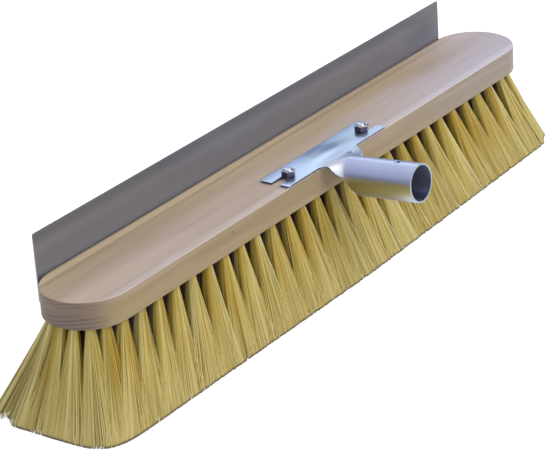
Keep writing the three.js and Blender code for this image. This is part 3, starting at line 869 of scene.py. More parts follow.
def tuft_places(tuft):
    """Where the tufts stand round the block's middle: rows set off by half a pitch from their
    neighbours, and an arc of tufts round each end."""
    outer = outer_row(tuft)
    places = []
    for row in range(tuft.rows):
        y = row_height(tuft, row)
        shift = row_shift(tuft, row)
        bulge = math.sqrt(max(0, (outer - tuft.ring_gap) ** 2 - y**2))
        reach = STRAIGHT_HALF + (0 if row in (0, tuft.rows - 1) else bulge)
        steps = math.floor((reach + shift) / tuft.pitch + TINY)
        for step in range(-steps, steps + 1):
            x = step * tuft.pitch + shift
            if abs(x) <= reach + TINY:
                places.append((x - tuft.drift * (0.5 - x / (2 * STRAIGHT_HALF)), y))
    ends = round(math.pi * outer / tuft.end_pitch) - 1
    ring = outer - tuft.end_inset
    for side in (-1, 1):
        for i in range(1, ends + 1):
            a = (i / (ends + 1) - 0.5) * math.pi
            places.append((side * (STRAIGHT_HALF + ring * math.cos(a)), ring * math.sin(a)))
    return places


def tuft_tip(tuft, x, y):
    """Where the tips of a tuft stand: spread to both sides, leaning left from the left end to past
    the middle and right at the right end, and swept forward at the left end."""
    along = x / (BLOCK_LENGTH / 2)
    side = tuft.side - tuft.side_fall * max(0, along)
    lean = tuft.lean_rise * along - tuft.lean
    in_left_end = max(0, -(x + STRAIGHT_HALF) / outer_row(tuft))
    return (x + lean + tuft.end_right * in_left_end, y * (1 + side) - tuft.end_forward * in_left_end)


def slice_of(tuft, x, y):
    """Which of the CAD bristle slices carries the tuft."""
    outer = outer_row(tuft)
    row = round((y + outer) / (2 * outer / (tuft.rows - 1)))
    pitches = BLOCK_LENGTH / tuft.pitch
    slices = len(BRISTLE_NODES)
    cuts = [math.floor(((i + 1) / slices - 0.5) * pitches + 0.5) + 0.5 for i in range(slices - 1)]
    return sum(x > cut * tuft.pitch - row_shift(tuft, row) for cut in cuts)


def outward_of(x, y):
    """The way out of the block's outline at a tuft."""
    out = Vector((x - min(max(x, -STRAIGHT_HALF), STRAIGHT_HALF), y))
    return out.normalized() if out.length > TINY else Vector((0, 1))


def trim_of(tuft, x, out):
    """The outward reach at which an outer tuft's tips are trimmed, and their extra travel."""
    if x < -STRAIGHT_HALF:
        return tuft.left_trim * (1 - 0.4 * max(0, out.y)), tuft.push
    if x > STRAIGHT_HALF:
        return tuft.right_trim, tuft.push
    return (tuft.trim, tuft.push) if out.y < 0 else (tuft.rear_trim, -tuft.pull)


def trimmed(px, py, below):
    """Draws the tips at both ends in to the rounded outline that they are trimmed to."""
    for side, centre, reach, square in TRIMMED_ENDS:
        dx, dy = px[:, -1:] - centre[0], py[:, -1:] - centre[1]
        outside = (np.abs(dx / reach[0]) ** square + np.abs(dy / reach[1]) ** square) ** (1 / square)
        drawn = np.where(side * dx > 0, 1 - 1 / np.maximum(1, outside), 0) * below
        px, py = px - (px - centre[0]) * drawn, py - (py - centre[1]) * drawn
    return px, py


def tuft_fibres(tuft, x, y, levels, chance):
    """The fibres of the tuft at this place: the middle and the radius of each at every level, the
    way it leans, its tone with painted highlights, and whether the tuft is an inner one. The lean opens
    out of the tuft, so that light falls on a tuft as on one soft cone."""
    bend = np.where(levels > 0, 0.86 * levels + 0.14 * levels**2, 0.0)[None, :]
    below = np.clip(levels, 0, 1)[None, :]
    outer = outer_row(tuft)
    out = outward_of(x, y)
    over = max(0, abs(x) - STRAIGHT_HALF)
    in_arc = over > 7 * MM and math.hypot(over, y) > outer - tuft.end_inset - 1 * MM
    at_edge = in_arc or abs(y) > outer - 1 * MM
    kind = ARC_TUFT if in_arc else EDGE_TUFT if at_edge else INNER_TUFT
    crowd, stray_turn, stray_far, width, loose = kind

    # Each fibre belongs to a clump, and the clumps stand in a spiral round the tuft's middle.
    n = round(tuft.fibres * crowd)
    clump = chance.integers(0, CLUMPS, n)
    clump_turn = np.arange(CLUMPS) * CLUMP_TURN + chance.random() * FULL_TURN
    clump_far = np.sqrt((np.arange(CLUMPS) + 0.5) / CLUMPS)
    turn = clump_turn[clump] + chance.normal(0, stray_turn, n)
    far = np.clip(clump_far[clump] + chance.normal(0, stray_far, n), 0, 1)
    along_row = far * np.cos(turn)
    across = far * np.sin(turn)
    wide = tuft.tip_wide * chance.uniform(*WIDTHS) * width
    if at_edge:
        along_row = along_row / np.sqrt(1 - 0.75 * across**2)
        across = np.where(across > 0, np.abs(across) ** 0.6, across)

    # The tips stray from their place, a few of them much further, and outer tufts are trimmed.
    slip = chance.normal(0, loose, (n, 2)) + chance.normal(0, CLUMP_SLIP, (CLUMPS, 2))[clump]
    slip *= np.where(chance.random(n) < STRAY_SHARE, STRAY_FURTHER, 1.0)[:, None]
    row_way = along_row[:, None] * (tuft.root_radius + (wide - tuft.root_radius) * bend)
    row_way += (slip[:, :1] + chance.normal(0, TUFT_SLIP)) * bend
    out_way = across[:, None] * (tuft.root_radius + (tuft.tip_deep - tuft.root_radius) * bend)
    out_way += slip[:, 1:] * bend
    if at_edge:
        reach, push = trim_of(tuft, x, out)
        trim = reach + chance.normal(0, TRIM_SPREAD, n)[:, None]
        limit = tuft.root_radius + (trim - tuft.root_radius) * bend
        out_way = np.minimum(out_way + push * bend, limit)
    sway = chance.normal(0, SWAY, n)[:, None]
    sway = sway * np.sin(2.4 * math.pi * below + chance.random(n)[:, None] * FULL_TURN)
    tip_x, tip_y = tuft_tip(tuft, x, y)
    px = x + (tip_x - x) * bend + row_way * out.y + out_way * out.x + sway * below
    py = y + (tip_y - y) * bend - row_way * out.x + out_way * out.y
    px, py = trimmed(px, py, below)
    rise = np.abs(chance.normal(0, TIP_RISE, n))
    pz = UNDERSIDE - (UNDERSIDE - rise[:, None]) * levels[None, :]
    thick = tuft.fibre_radius * chance.uniform(*THICKNESSES, n)

    # Tufts face a little to the left, apart from the left end, where they face right.
    flat = tuft.flatten * below
    right_side = along_row * out.y + across * out.x
    turned = 0.35 * min(1, max(-0.3, (x + 0.24) / 0.08)) * (1 - flat)
    row_lean = along_row[:, None] * (1 - flat)
    out_lean = across[:, None] * (1 - flat) + 0.4 * flat * at_edge
    lean_x = row_lean * out.y + out_lean * out.x - turned
    lean_y = out_lean * out.y - row_lean * out.x
    up_lean = np.broadcast_to(0.15 * far[:, None], lean_x.shape)

    # Painted highlights: the tufts' right sides are paler, as if lit from the right, apart from the left
    # end, where their left sides are, as if lit from the left. The tufts round the right end are painted
    # paler and those round the left end darker.
    tone = 0.48 + 0.22 * right_side * min(1, max(-1.3, (x + 0.215) / 0.05))
    tone = tone + (0.35 if x > 0 else -0.15) * in_arc
    clump_tone = chance.normal(0, CLUMP_TONE, CLUMPS)
    tone = tone + chance.normal(0, TUFT_TONE) + clump_tone[clump] + chance.normal(0, FIBRE_TONE, n)
    return (
        np.stack([px, py, pz], 2),
        thick[:, None] * (1 + THICKENING * below),
        np.stack([lean_x, lean_y, up_lean], 2),
        tone,
        np.full(n, 0.0 if at_edge else 1.0),
    )


def fibre_rings(tuft, places, chance):
    """The rings of three points of every fibre, from its root down, with the way they face, its
    tone, whether it stands in an inner row, and the share of its length at each ring."""
    levels = np.array([-tuft.root_depth / UNDERSIDE, 0.02, 0.5, 1.0])
    tufts = [tuft_fibres(tuft, x, y, levels, chance) for x, y in places]
    centres, radii, leans, tones, inner = (np.concatenate(part) for part in zip(*tufts))
    centres += np.array([BLOCK_MIDDLE.x, BLOCK_MIDDLE.y, 0.0])
    first = chance.random(len(tones)) * 2 * math.pi
    corners = first[:, None] + np.arange(3)[None, :] * 2 * math.pi / 3
    away = np.stack([np.cos(corners), np.sin(corners), np.zeros_like(corners)], 2)
    points = centres[:, :, None, :] + radii[:, :, None, None] * away[:, None, :, :]
    facing = away[:, None, :, :] + tuft.soften * leans[:, :, None, :]
    return points, facing, tones, inner, np.clip(levels, 0, 1)


def baking_map(fibres, row, side, rows):
    """A cell for each fibre on a square baking map. A cell holds the quads
    of the fibre's three sides, with a cap below them and one above."""
    low = 0.1 + 0.8 * row / rows
    high = 0.1 + 0.8 * (row + 1) / rows
    left, right = 0.05 + 0.9 * side / 3, 0.05 + 0.9 * (side + 1) / 3
    quad_map = np.stack([left, low, left, high, right, high, right, low], 1).reshape(-1, 2)
    cap_map = np.array([[0.1, 0.0], [0.9, 0.0], [0.5, 0.08], [0.1, 0.92], [0.9, 0.92], [0.5, 1.0]])
    cell = np.concatenate([quad_map, cap_map])
    starts = np.arange(fibres)
    grid = math.ceil(math.sqrt(fibres))
    corner = np.stack([starts % grid, starts // grid], 1)[:, None, :]
    return (corner + 0.04 + 0.92 * cell[None, :, :]) / grid


def fibre_mesh(name, points, facing, tones, inner, levels):
    """One closed three-sided tube for each fibre. It is shaded by the way it faces, and its cut
    end faces down."""
    fibres, rings = points.shape[:2]
    row, side = np.meshgrid(np.arange(rings - 1), np.arange(3), indexing="ij")
    row, side = row.ravel(), side.ravel()
    near, far = side, (side + 1) % 3
    quads = np.stack([row * 3 + near, (row + 1) * 3 + near, (row + 1) * 3 + far, row * 3 + far], 1)
    last = (rings - 1) * 3
    corners = np.concatenate([quads.ravel(), [0, 1, 2, last, last + 2, last + 1]])
    sizes = np.tile([4] * len(quads) + [3, 3], fibres)
    starts = np.arange(fibres)[:, None] * rings * 3
    corners = (starts + corners[None, :]).ravel()

    mesh = bpy.data.meshes.new(name)
    mesh.vertices.add(points.size // 3)
    mesh.vertices.foreach_set("co", points.astype(np.float32).ravel())
    mesh.loops.add(len(corners))
    mesh.loops.foreach_set("vertex_index", corners.astype(np.int32))
    mesh.polygons.add(len(sizes))
    firsts = np.cumsum(sizes) - sizes
    mesh.polygons.foreach_set("loop_start", firsts.astype(np.int32))
    mesh.update(calc_edges=True)
    layer = mesh.uv_layers.new(name="OFBake")
    baking = baking_map(fibres, row, side, rings - 1)
    layer.uv.foreach_set("vector", baking.astype(np.float32).ravel())
    for label, values in (
        ("fibre_tone", np.repeat(tones, rings * 3)),
        ("fibre_inner", np.repeat(inner, rings * 3)),
        ("fibre_along", np.tile(np.repeat(levels, 3), fibres)),
    ):
        made = mesh.attributes.new(label, "FLOAT", "POINT")
        made.data.foreach_set("value", values.astype(np.float32))
    mesh.shade_smooth()
    lengths = np.linalg.norm(facing, axis=3, keepdims=True)
    shading = (facing / lengths).reshape(-1, 3)[corners].reshape(fibres, -1, 3)
    shading[:, -3:] = (0, 0, -1)
    mesh.normals_split_custom_set(shading.reshape(-1, 3))
    return mesh


def build_bristles(tuft):
    chance = np.random.default_rng(tuft.seed)
    material = plant_fibre(tuft)
    places = tuft_places(tuft)
    for index, node in enumerate(BRISTLE_NODES):
        own = [place for place in places if slice_of(tuft, *place) == index]
        mesh = fibre_mesh(f"fibre_tufts_{index + 1}", *fibre_rings(tuft, own, chance))
        piece = bpy.data.objects.new(mesh.name, mesh)
        bpy.context.scene.collection.objects.link(piece)
        finish_piece(piece, "plant_fibre", [material], node)


# ------------------------------------------------------------------ sheet pieces


def triangulated(outlines, inner=()):
    """Points and triangles of a flat shape. The first outline is its edge, and the others holes."""
    points = [Vector(point) for outline in outlines for point in outline]
    faces = []
    for outline in outlines:
        start = sum(len(face) for face in faces)
        faces.append(list(range(start, start + len(outline))))
    points += [Vector(point) for point in inner]
    edges = [(face[i - 1], face[i]) for face in faces for i in range(len(face))]
    out = geometry.delaunay_2d_cdt(points, edges, [faces[0]], 1, 1e-7)
    places, triangles, sources = out[0], out[2], out[3]
    order = {}
    for i, source in enumerate(sources):
        for index in source:
            order[i] = min(index, order.get(i, index))
    holes = [[points[i] for i in face] for face in faces[1:]]
    kept = []
    for triangle in triangles:
        centre = sum((places[i] for i in triangle), Vector((0, 0))) / 3
        if not any(inside(centre, hole) for hole in holes):
            kept.append([order[i] for i in triangle])
    return points, kept


def inside(point, outline):
    crossed = False
    for a, b in zip(outline, outline[1:] + outline[:1]):
        if (a.y > point.y) != (b.y > point.y):
            if point.x < a.x + (point.y - a.y) / (b.y - a.y) * (b.x - a.x):
                crossed = not crossed
    return crossed


def thickened(mids, normals, faces, thickness):
    """A closed solid round a sheet: its two sides, and walls along its free edges."""
    total = len(mids)
    half = thickness / 2
    points = [m + n * half for m, n in zip(mids, normals)] + [m - n * half for m, n in zip(mids, normals)]
    used = dict.fromkeys((face[i - 1], face[i]) for face in faces for i in range(len(face)))
    walls = [(b, a, a + total, b + total) for a, b in used if (b, a) not in used]
    under = [tuple(total + i for i in reversed(face)) for face in faces]
    return points, [tuple(face) for face in faces] + under + walls


def arc(centre, radius, start, end, steps):
    turns = [start + (end - start) * i / steps for i in range(steps + 1)]
    return [(centre[0] + radius * math.cos(a), centre[1] + radius * math.sin(a)) for a in turns]


def build_scraper(blade):
    low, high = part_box("scraper_blade")
    r = blade.corner
    corners = (
        ((high.x - r, low.z + r), -QUARTER),
        ((high.x - r, high.z - r), 0),
        ((low.x + r, high.z - r), QUARTER),
        ((low.x + r, low.z + r), 2 * QUARTER),
    )
    outline = [point for centre, start in corners for point in arc(centre, r, start, start + QUARTER, 6)]
    holes = []
    last = SHANK_SEGMENTS - 1
    for node in SCREW_NODES:
        place = middle(node)
        end = 2 * math.pi * last / SHANK_SEGMENTS
        holes.append(arc((place.x, place.z), blade.hole_radius, 0, end, last))
    points, triangles = triangulated([outline, *holes])
    depth = (low.y + high.y) / 2
    mids = [Vector((point.x, depth, point.y)) for point in points]
    forward = [Vector((0, -1, 0))] * len(mids)
    solid = Shape().add(*thickened(mids, forward, triangles, high.y - low.y))
    piece = solid.to_object("steel_scraper")
    smooth(piece, blade.edge)
    finish_piece(piece, "grey_steel", [rolled_steel(tuple(blade.steel))], "scraper_blade")


# ------------------------------------------------------------------ socket bracket

# Share of the shoulder that is cut straight, before it runs out into the seam.
SHOULDER_STRAIGHT = 0.8

# The dent beside the neck: its place and its reach along and across the sheet, and its depth.
DENT_PLACE = (4.2 * MM, 9.5 * MM)
DENT_REACH = (1.9 * MM, 1.6 * MM)
DENT_DEPTH = 0.9 * MM

# The pressed swelling: how far it reaches to both sides, and how far forward its crest lies.
SWELL_REACH = 27 * MM
SWELL_FORWARD = 0.62

# Rounding of the slots' mouths, spacing of the points inside the plate, and their least distance
# from its edge.
SLOT_MOUTH = 1.2 * MM
PLATE_STEP = 2 * MM
PLATE_MARGIN = 0.9 * MM

# The share of the neck's length that has the plate's cut edges, how level a face is at most to
# count as one, and how far out from the bore a face still counts as the inside of the tube.
CUT_EDGE_SHARE = 0.7
CUT_EDGE_LEVEL = 0.3
BORE_MARGIN = 0.15 * MM

# Rows of faces along the neck, the shoulder and the tube, and the shoulder rows' reach as a
# multiple of the shoulder.
NECK_ROWS = 24
SHOULDER_ROWS = 20
TUBE_ROWS = 11
SHOULDER_REACH = 1.2


class Station:
    """One place along the top line of the bracket's rolled sheet."""

    def __init__(self, bracket, run):
        radius = (bracket.bore + bracket.sheet) / 2
        in_neck = min(max(run / bracket.neck_length, 0), 1)
        bent = in_neck**4 * (3 - 2 * in_neck**2)
        past = max(0, run - bracket.neck_length)
        slope = math.tan(bracket.tilt)
        ease = in_neck**2 * (3 - 2 * in_neck)
        pull = in_neck**2 * (in_neck - 1)
        self.lift = bracket.neck_lift * ease + (bracket.neck_length * pull + past) * slope
        self.tilt = bracket.tilt * bent
        self.curvature = bent / radius
        into_fillet = min(max(run / bracket.neck_fillet, 0), 1)
        fillet = bracket.neck_fillet * (1 - math.sqrt(1 - (1 - into_fillet) ** 2))
        neck_half = bracket.neck_width / 2 * (1 - bent) + bracket.neck_angle * radius * bent + fillet
        on_shoulder = past / bracket.shoulder
        straight = min(on_shoulder, SHOULDER_STRAIGHT)
        cut = math.cos(bracket.neck_angle) * (1 - straight) - straight
        steep = (1 + math.cos(bracket.neck_angle)) / math.sqrt(1 - cut**2)
        turn = math.acos(cut) + (on_shoulder - straight) * steep
        closed = math.pi - bracket.seam / 2 / radius
        self.half = min(turn, closed) * radius if past > 0 else neck_half
        self.run = run

    def point(self, front, height, along):
        """The sheet's middle at a distance across from the top line, and the way it faces."""
        a = along * self.curvature
        curved = self.curvature > 1e-9
        reach = math.sin(a) / self.curvature if curved else along
        drop = (1 - math.cos(a)) / self.curvature if curved else 0
        up = Vector((0, math.sin(self.tilt), math.cos(self.tilt)))
        across = Vector((1, 0, 0))
        normal = across * math.sin(a) + up * math.cos(a)
        mid = Vector((BRACKET_X, front - self.run, height + self.lift)) + across * reach - up * drop
        dent = math.hypot(
            (self.run - DENT_PLACE[0]) / DENT_REACH[0],
            (along - DENT_PLACE[1]) / DENT_REACH[1],
        )
        return mid - normal * (DENT_DEPTH * math.exp(-(dent**2))), normal

    def row(self, front, height, columns):
        """The same for every column, from the left edge of the sheet to the right one."""
        shares = [2 * i / columns - 1 for i in range(columns + 1)]
        return [self.point(front, height, self.half * share) for share in shares]


def plate_swell(bracket, x, back):
    """How far the pressing has lifted the plate behind the neck, at a distance from its front."""
    across = math.exp(-(((x - BRACKET_X) / SWELL_REACH) ** 2))
    share = max(0, back / bracket.plate_width) ** SWELL_FORWARD
    return bracket.swell * across * math.sin(math.pi * min(1, share)) ** 2


def plate_outline(bracket, low, high, front):
    """The flat plate's rear edge, ends and slots, from the right end of the neck round to its
    left end."""
    r, s, tip = bracket.plate_corner, bracket.slot_width / 2, SLOT_MOUTH
    left_stud, right_stud = (middle(node).x for node in STUD_NODES)
    slot = middle(STUD_NODES[0]).y
    return [
        *arc((high.x - r, front + r), r, -QUARTER, 0, 5),
        *arc((high.x - tip, slot - s - tip), tip, 0, QUARTER, 4),
        *arc((right_stud, slot), s, 3 * QUARTER, QUARTER, 18),
        *arc((high.x - tip, slot + s + tip), tip, -QUARTER, 0, 4),
        *arc((high.x - r, high.y - r), r, 0, QUARTER, 5),
        *arc((low.x + r, high.y - r), r, QUARTER, 2 * QUARTER, 5),
        *arc((low.x + tip, slot + s + tip), tip, 2 * QUARTER, 3 * QUARTER, 4),
        *arc((left_stud, slot), s, QUARTER, -QUARTER, 18),
        *arc((low.x + tip, slot - s - tip), tip, QUARTER, 2 * QUARTER, 4),
        *arc((low.x + r, front + r), r, 2 * QUARTER, 3 * QUARTER, 5),
    ]


def points_inside(outline, low, high):
    """Evenly spaced points of a flat shape, clear of its edge."""
    edge = [Vector(point) for point in outline]
    spots = []
    for i in range(int((high[0] - low[0]) / PLATE_STEP)):
        for j in range(1, int((high[1] - low[1]) / PLATE_STEP)):
            spot = Vector((low[0] + (i + 0.5) * PLATE_STEP, low[1] + (j + 0.25) * PLATE_STEP))
            if inside(spot, edge) and min((spot - other).length for other in edge) > PLATE_MARGIN:
                spots.append(spot)
    return spots


def mark_finishes(piece, bracket, front, axis_height):
    """Gives the bracket's faces their finish: the plate's cut edges the third, the inside of the
    tube the second, and all others the first."""
    radius = bracket.bore / 2
    up = Vector((0, math.sin(bracket.tilt), math.cos(bracket.tilt)))
    for face in piece.data.polygons:
        run = front - face.center.y
        if run < bracket.neck_length * CUT_EDGE_SHARE:
            # These edge faces get the dark finish, partly sheared steel and partly painted shade.
            if abs(face.normal.z) < CUT_EDGE_LEVEL:
                face.material_index = 2
        else:
            top = Vector((BRACKET_X, face.center.y, axis_height + Station(bracket, run).lift))
            away = face.center - (top - up * (radius + bracket.sheet / 2))
            if away.length < radius + BORE_MARGIN and face.normal.dot(away) < 0:
                face.material_index = 1


def build_bracket(bracket):
    low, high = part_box("socket_bracket")
    front = high.y - bracket.plate_width
    height = TOP + CLEARANCE + bracket.sheet / 2
    columns = bracket.columns
    start = Station(bracket, 0)
    outline = [(mid.x, front) for mid, _ in start.row(front, height, columns)]
    outline += plate_outline(bracket, low, high, front)
    corner = (high.x, front + bracket.plate_width)
    points, triangles = triangulated([outline], points_inside(outline, (low.x, front), corner))
    mids = [Vector((p.x, p.y, height + plate_swell(bracket, p.x, p.y - front))) for p in points]
    normals = [Vector((0, 0, 1))] * len(mids)
    faces = [tuple(triangle) for triangle in triangles]
    previous = list(range(columns + 1))
    neck_end = bracket.neck_length
    shoulder_end = neck_end + SHOULDER_REACH * bracket.shoulder
    runs = [
        *np.linspace(0, neck_end, NECK_ROWS + 1)[1:],
        *np.linspace(neck_end, shoulder_end, SHOULDER_ROWS + 1)[1:],
        *np.linspace(shoulder_end, bracket.reach, TUBE_ROWS + 1)[1:],
    ]
    for run in runs:
        row = list(range(len(mids), len(mids) + columns + 1))
        for mid, normal in Station(bracket, float(run)).row(front, height, columns):
            mids.append(mid)
            normals.append(normal)
        for i in range(columns):
            faces.append((previous[i], row[i], row[i + 1], previous[i + 1]))
        previous = row
    solid = Shape().add(*thickened(mids, normals, faces, bracket.sheet))
    piece = solid.to_object("zinc_bracket")
    fixing = Station(bracket, bracket.reach - bracket.fixing_back)
    mid, _ = fixing.point(front, height, 0)
    tool = Shape().add_rod(bracket.fixing_radius, -4 * MM, 4 * MM, 32).to_object("fixing_drill")
    tool.matrix_world = Matrix.Translation(mid) @ Matrix.Rotation(-fixing.tilt, 4, "X")
    bpy.context.view_layer.update()
    carve(piece, tool)
    smooth(piece, bracket.edge, 40)
    zinc, shade, cut = tuple(bracket.zinc), tuple(bracket.shade), tuple(bracket.cut)
    outer = zinc_plate("zinc_plate", zinc, shade, pressed=True)
    # The inside of the socket is darker: partly thinner plating, partly painted shade.
    hollow = zinc_plate("zinc_hollow", shade, shade, 0.42)
    # The plate's edges: duller sheared steel, darkened further as painted shade and dark reflection.
    sheared = zinc_plate("sheared_edge", cut, shade, 0.4)
    finish_piece(piece, "zinc_plated_steel", [outer, hollow, sheared], "socket_bracket")
    mark_finishes(piece, bracket, front, height + start.lift)


# ------------------------------------------------------------------ screws, studs and nuts

# Depths of the threads of screws, of the studs in the wood and of the studs above it.
SCREW_THREAD = 0.5 * MM
WOOD_THREAD = 0.7 * MM
METRIC_THREAD = 0.58 * MM

# The screw's pan head: the share of its height that is its side, and how full its dome is.
HEAD_SIDE = 0.42
HEAD_FULLNESS = 0.8

# The cross recess of the screws: half the width of its arms, its depth, and the turn from one
# screw to the next.
RECESS_ARM = 0.55 * MM
RECESS_DEPTH = 1.7 * MM
RECESS_TURN = 0.7

# The nuts: the faces round them, the share of their width that stays flat at both ends, the
# slope of the chamfer, the width of the countersink and the rounding of the chamfer's edge.
NUT_COLUMNS = 96
NUT_FACE = 0.95
NUT_SLOPE = math.tan(math.radians(30))
COUNTERSINK = 0.5 * MM
NUT_ROUNDING = 0.12 * MM


def cross(reach, wide, height):
    """A ring in the shape of a cross: how far its arms reach, and half their width."""
    corner = [(reach, -wide), (reach, wide), (wide, wide)]
    quarters = [Matrix.Rotation(QUARTER * i, 4, "Z") for i in range(4)]
    return [quarter @ Vector((x, y, height)) for quarter in quarters for x, y in corner]


def build_screws(screw):
    """Pan-head wood screws with a cross recess, each turned as its tightening left it."""
    steel = tuple(screw.steel)
    material = zinc_plate("screw_steel", steel, brighter(steel, 0.5), 0.26)
    low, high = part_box(SCREW_NODES[0])
    total = high.y - low.y
    head = total * screw.head_share
    head_radius = (high.x - low.x) / 2
    shank = total - head
    outline = [
        (0, 0.15 * MM),
        (4 * MM, screw.shank_radius),
        (shank - 0.4 * MM, screw.shank_radius),
        (shank - 0.01 * MM, screw.shank_radius),
    ]
    rings = thread_rings(outline, screw.pitch, SCREW_THREAD, 0, shank - 2 * MM, 24)
    dome = [(shank, head_radius), (shank + head * HEAD_SIDE, head_radius)]
    for i in range(1, 9):
        a = QUARTER * i / 9
        height = shank + head * (HEAD_SIDE + (1 - HEAD_SIDE) * math.sin(a))
        dome.append((height, head_radius * math.cos(a) ** HEAD_FULLNESS))
    solid = Shape().add_rings(rings + [circle(radius, height, 24) for height, radius in dome])
    reach = screw.recess / 2
    bottom = cross(reach * 0.45, RECESS_ARM * 0.6, total - RECESS_DEPTH)
    above = cross(reach * 1.3, RECESS_ARM * 1.3, total + MM)
    for index, node in enumerate(SCREW_NODES):
        piece = solid.to_object(f"pan_head_screw_{index + 1}")
        turned = Matrix.Rotation(index * RECESS_TURN, 4, "Z")
        carve(piece, Shape().add_rings([bottom, above], place=turned).to_object("cross_recess"))
        place = middle(node)
        piece.data.transform(lying(place.x, low.y, place.z))
        smooth(piece)
        finish_piece(piece, "screw_steel", [material], node)


def build_studs(fasteners, material):
    """Studs with a coarse thread in the wood and a metric one above it."""
    radius = fasteners.stud_radius
    for node, side in zip(STUD_NODES, SIDES):
        low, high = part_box(node)
        place = middle(node)
        wood = [(low.z, 0.2 * MM), (low.z + 4 * MM, radius), (TOP - 3 * MM, radius)]
        metric = [
            (TOP - 2.9 * MM, radius),
            (high.z - 0.7 * MM, radius),
            (high.z, radius - 0.7 * MM),
        ]
        rings = thread_rings(wood, fasteners.wood_pitch, WOOD_THREAD, low.z, TOP - 3.2 * MM)
        rings += thread_rings(metric, fasteners.pitch, METRIC_THREAD, TOP - 2 * MM, high.z)
        solid = Shape().add_rings(rings, place=upright(place.x, place.y))
        piece = solid.to_object(f"threaded_stud_{side}")
        smooth(piece, limit=50)
        finish_piece(piece, "zinc_plated_steel", [material], node)


def build_nuts(fasteners, material):
    """Hexagon nuts, whose flats end in the curved lines that a conical chamfer leaves."""
    flat = fasteners.flats / 2
    bore = fasteners.stud_radius + CLEARANCE
    turns = [2 * math.pi * i / NUT_COLUMNS for i in range(NUT_COLUMNS)]
    corner = [flat / math.cos((a + math.pi / 6) % (math.pi / 3) - math.pi / 6) for a in turns]
    face = flat * NUT_FACE
    drop = [(r - face) * NUT_SLOPE for r in corner]
    shrink = [r - NUT_ROUNDING for r in corner]

    def ring(radii, heights):
        return [Vector((r * math.cos(a), r * math.sin(a), z)) for a, r, z in zip(turns, radii, heights)]

    def even(radius, height):
        return ring([radius] * NUT_COLUMNS, [height] * NUT_COLUMNS)

    for node, side in zip(NUT_NODES, SIDES):
        low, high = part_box(node)
        rings = [
            even(bore + COUNTERSINK, low.z),
            even(face, low.z),
            ring(shrink, [low.z + d for d in drop]),
            ring(corner, [low.z + d + NUT_ROUNDING for d in drop]),
            ring(corner, [high.z - d - NUT_ROUNDING for d in drop]),
            ring(shrink, [high.z - d for d in drop]),
            even(face, high.z),
            even(bore + COUNTERSINK, high.z),
            even(bore, high.z - COUNTERSINK),
            even(bore, low.z + COUNTERSINK),
        ]
        place = middle(node)
        solid = Shape().add_rings(rings, joined=True, place=upright(place.x, place.y))
        piece = solid.to_object(f"hex_nut_{side}")
        smooth(piece, limit=28)
        finish_piece(piece, "zinc_plated_steel", [material], node)


def build_fasteners(fasteners):
    zinc, dark = tuple(fasteners.zinc), tuple(fasteners.dark)
    dull = brighter(dark, 0.4)
    build_studs(fasteners, zinc_plate("zinc_stud", zinc, dull, 0.24))
    # The nuts' flats are painted dark as shade.
    build_nuts(fasteners, zinc_plate("zinc_nut", dark, dull, 0.3, sides=NUT_FLATS_SHADE))


# ------------------------------------------------------------------ stage

# What the camera looks at, in millimetres from the middle of the block's top.
CAMERA_TARGET = (-32.43, 4.743, -51.641)
FLOOR_REACH = 30
FLOOR_DROP = 0.2 * MM

# The lamps: their place, size and tone, and whether they are mirrored in the metal.
LAMPS = {
    "key": ((1.1, -2.45, 2.3), 2.2, (1, 0.97, 0.93), True),
    "fill": ((-2.6, -1.2, 1.2), 2.0, (0.88, 0.93, 1), False),
    "rim": ((2.2, 1.65, 1.8), 1.0, (0.9, 0.94, 1), True),
}


def add_camera(stage, target):
    a, e, roll = stage.azimuth, stage.elevation, stage.roll
    back = Vector((math.sin(a) * math.cos(e), -math.cos(a) * math.cos(e), math.sin(e)))
    level = (-back).cross(Vector((0, 0, 1))).normalized()
    upright_way = level.cross(-back)
    right = level * math.cos(roll) + upright_way * math.sin(roll)
    up = upright_way * math.cos(roll) - level * math.sin(roll)
    lens = bpy.data.cameras.new("Camera")
    lens.lens = stage.lens
    lens.sensor_width = 36
    lens.clip_end = 100
    camera = bpy.data.objects.new("Camera", lens)
    turn = Matrix((right, up, back)).transposed().to_4x4()
    camera.matrix_world = Matrix.Translation(target + back * stage.distance) @ turn
    bpy.context.scene.collection.objects.link(camera)
    bpy.context.scene.camera = camera


def add_lamp(name, power, target):
    place, size, tone, mirrored = LAMPS[name]
    light = bpy.data.lights.new(f"{name}_light", "AREA")
    light.shape = "DISK"
    light.size = size
    light.energy = power
    light.color = tone
    lamp = bpy.data.objects.new(light.name, light)
    lamp.location = Vector(place)
    lamp.rotation_mode = "QUATERNION"
    lamp.rotation_quaternion = (Vector(place) - target).to_track_quat("Z", "Y")
    lamp.visible_camera = False
    lamp.visible_glossy = mirrored
    bpy.context.scene.collection.objects.link(lamp)


def build_stage(stage):
    scene = bpy.context.scene
    target = Vector((BLOCK_MIDDLE.x, BLOCK_MIDDLE.y, TOP)) + Vector(CAMERA_TARGET) * MM
    add_camera(stage, target)
    r = FLOOR_REACH
    corners = [(-r, -r, 0), (r, -r, 0), (r, r, 0), (-r, r, 0)]
    floor = Shape().add(corners, [(0, 1, 2, 3)]).to_object("floor")
    floor.location.z = -FLOOR_DROP
    floor.data.materials.append(plain_floor(tuple(stage.floor)))
    for name in LAMPS:
        add_lamp(name, getattr(stage, name), target)
    world = bpy.data.worlds.new("studio")
    world.use_nodes = True
    sky = Nodes(world.node_tree)
    right_way, _, height = sky.split(sky.node("ShaderNodeTexCoord", {}, {}, "Generated"))
    lit = sky.between(height, 0.0, 0.6) * (0.55 + sky.between(right_way, -0.8, 0.3) * 0.45)
    tone = sky.mix(lit, stage.horizon, stage.zenith)
    sky.end("ShaderNodeOutputWorld", sky.node("ShaderNodeBackground", {}, {0: tone, 1: stage.sky}))
    scene.world = world
    scene.view_settings.view_transform = "Standard"
    scene.view_settings.look = "None"


# ------------------------------------------------------------------ operators and panel


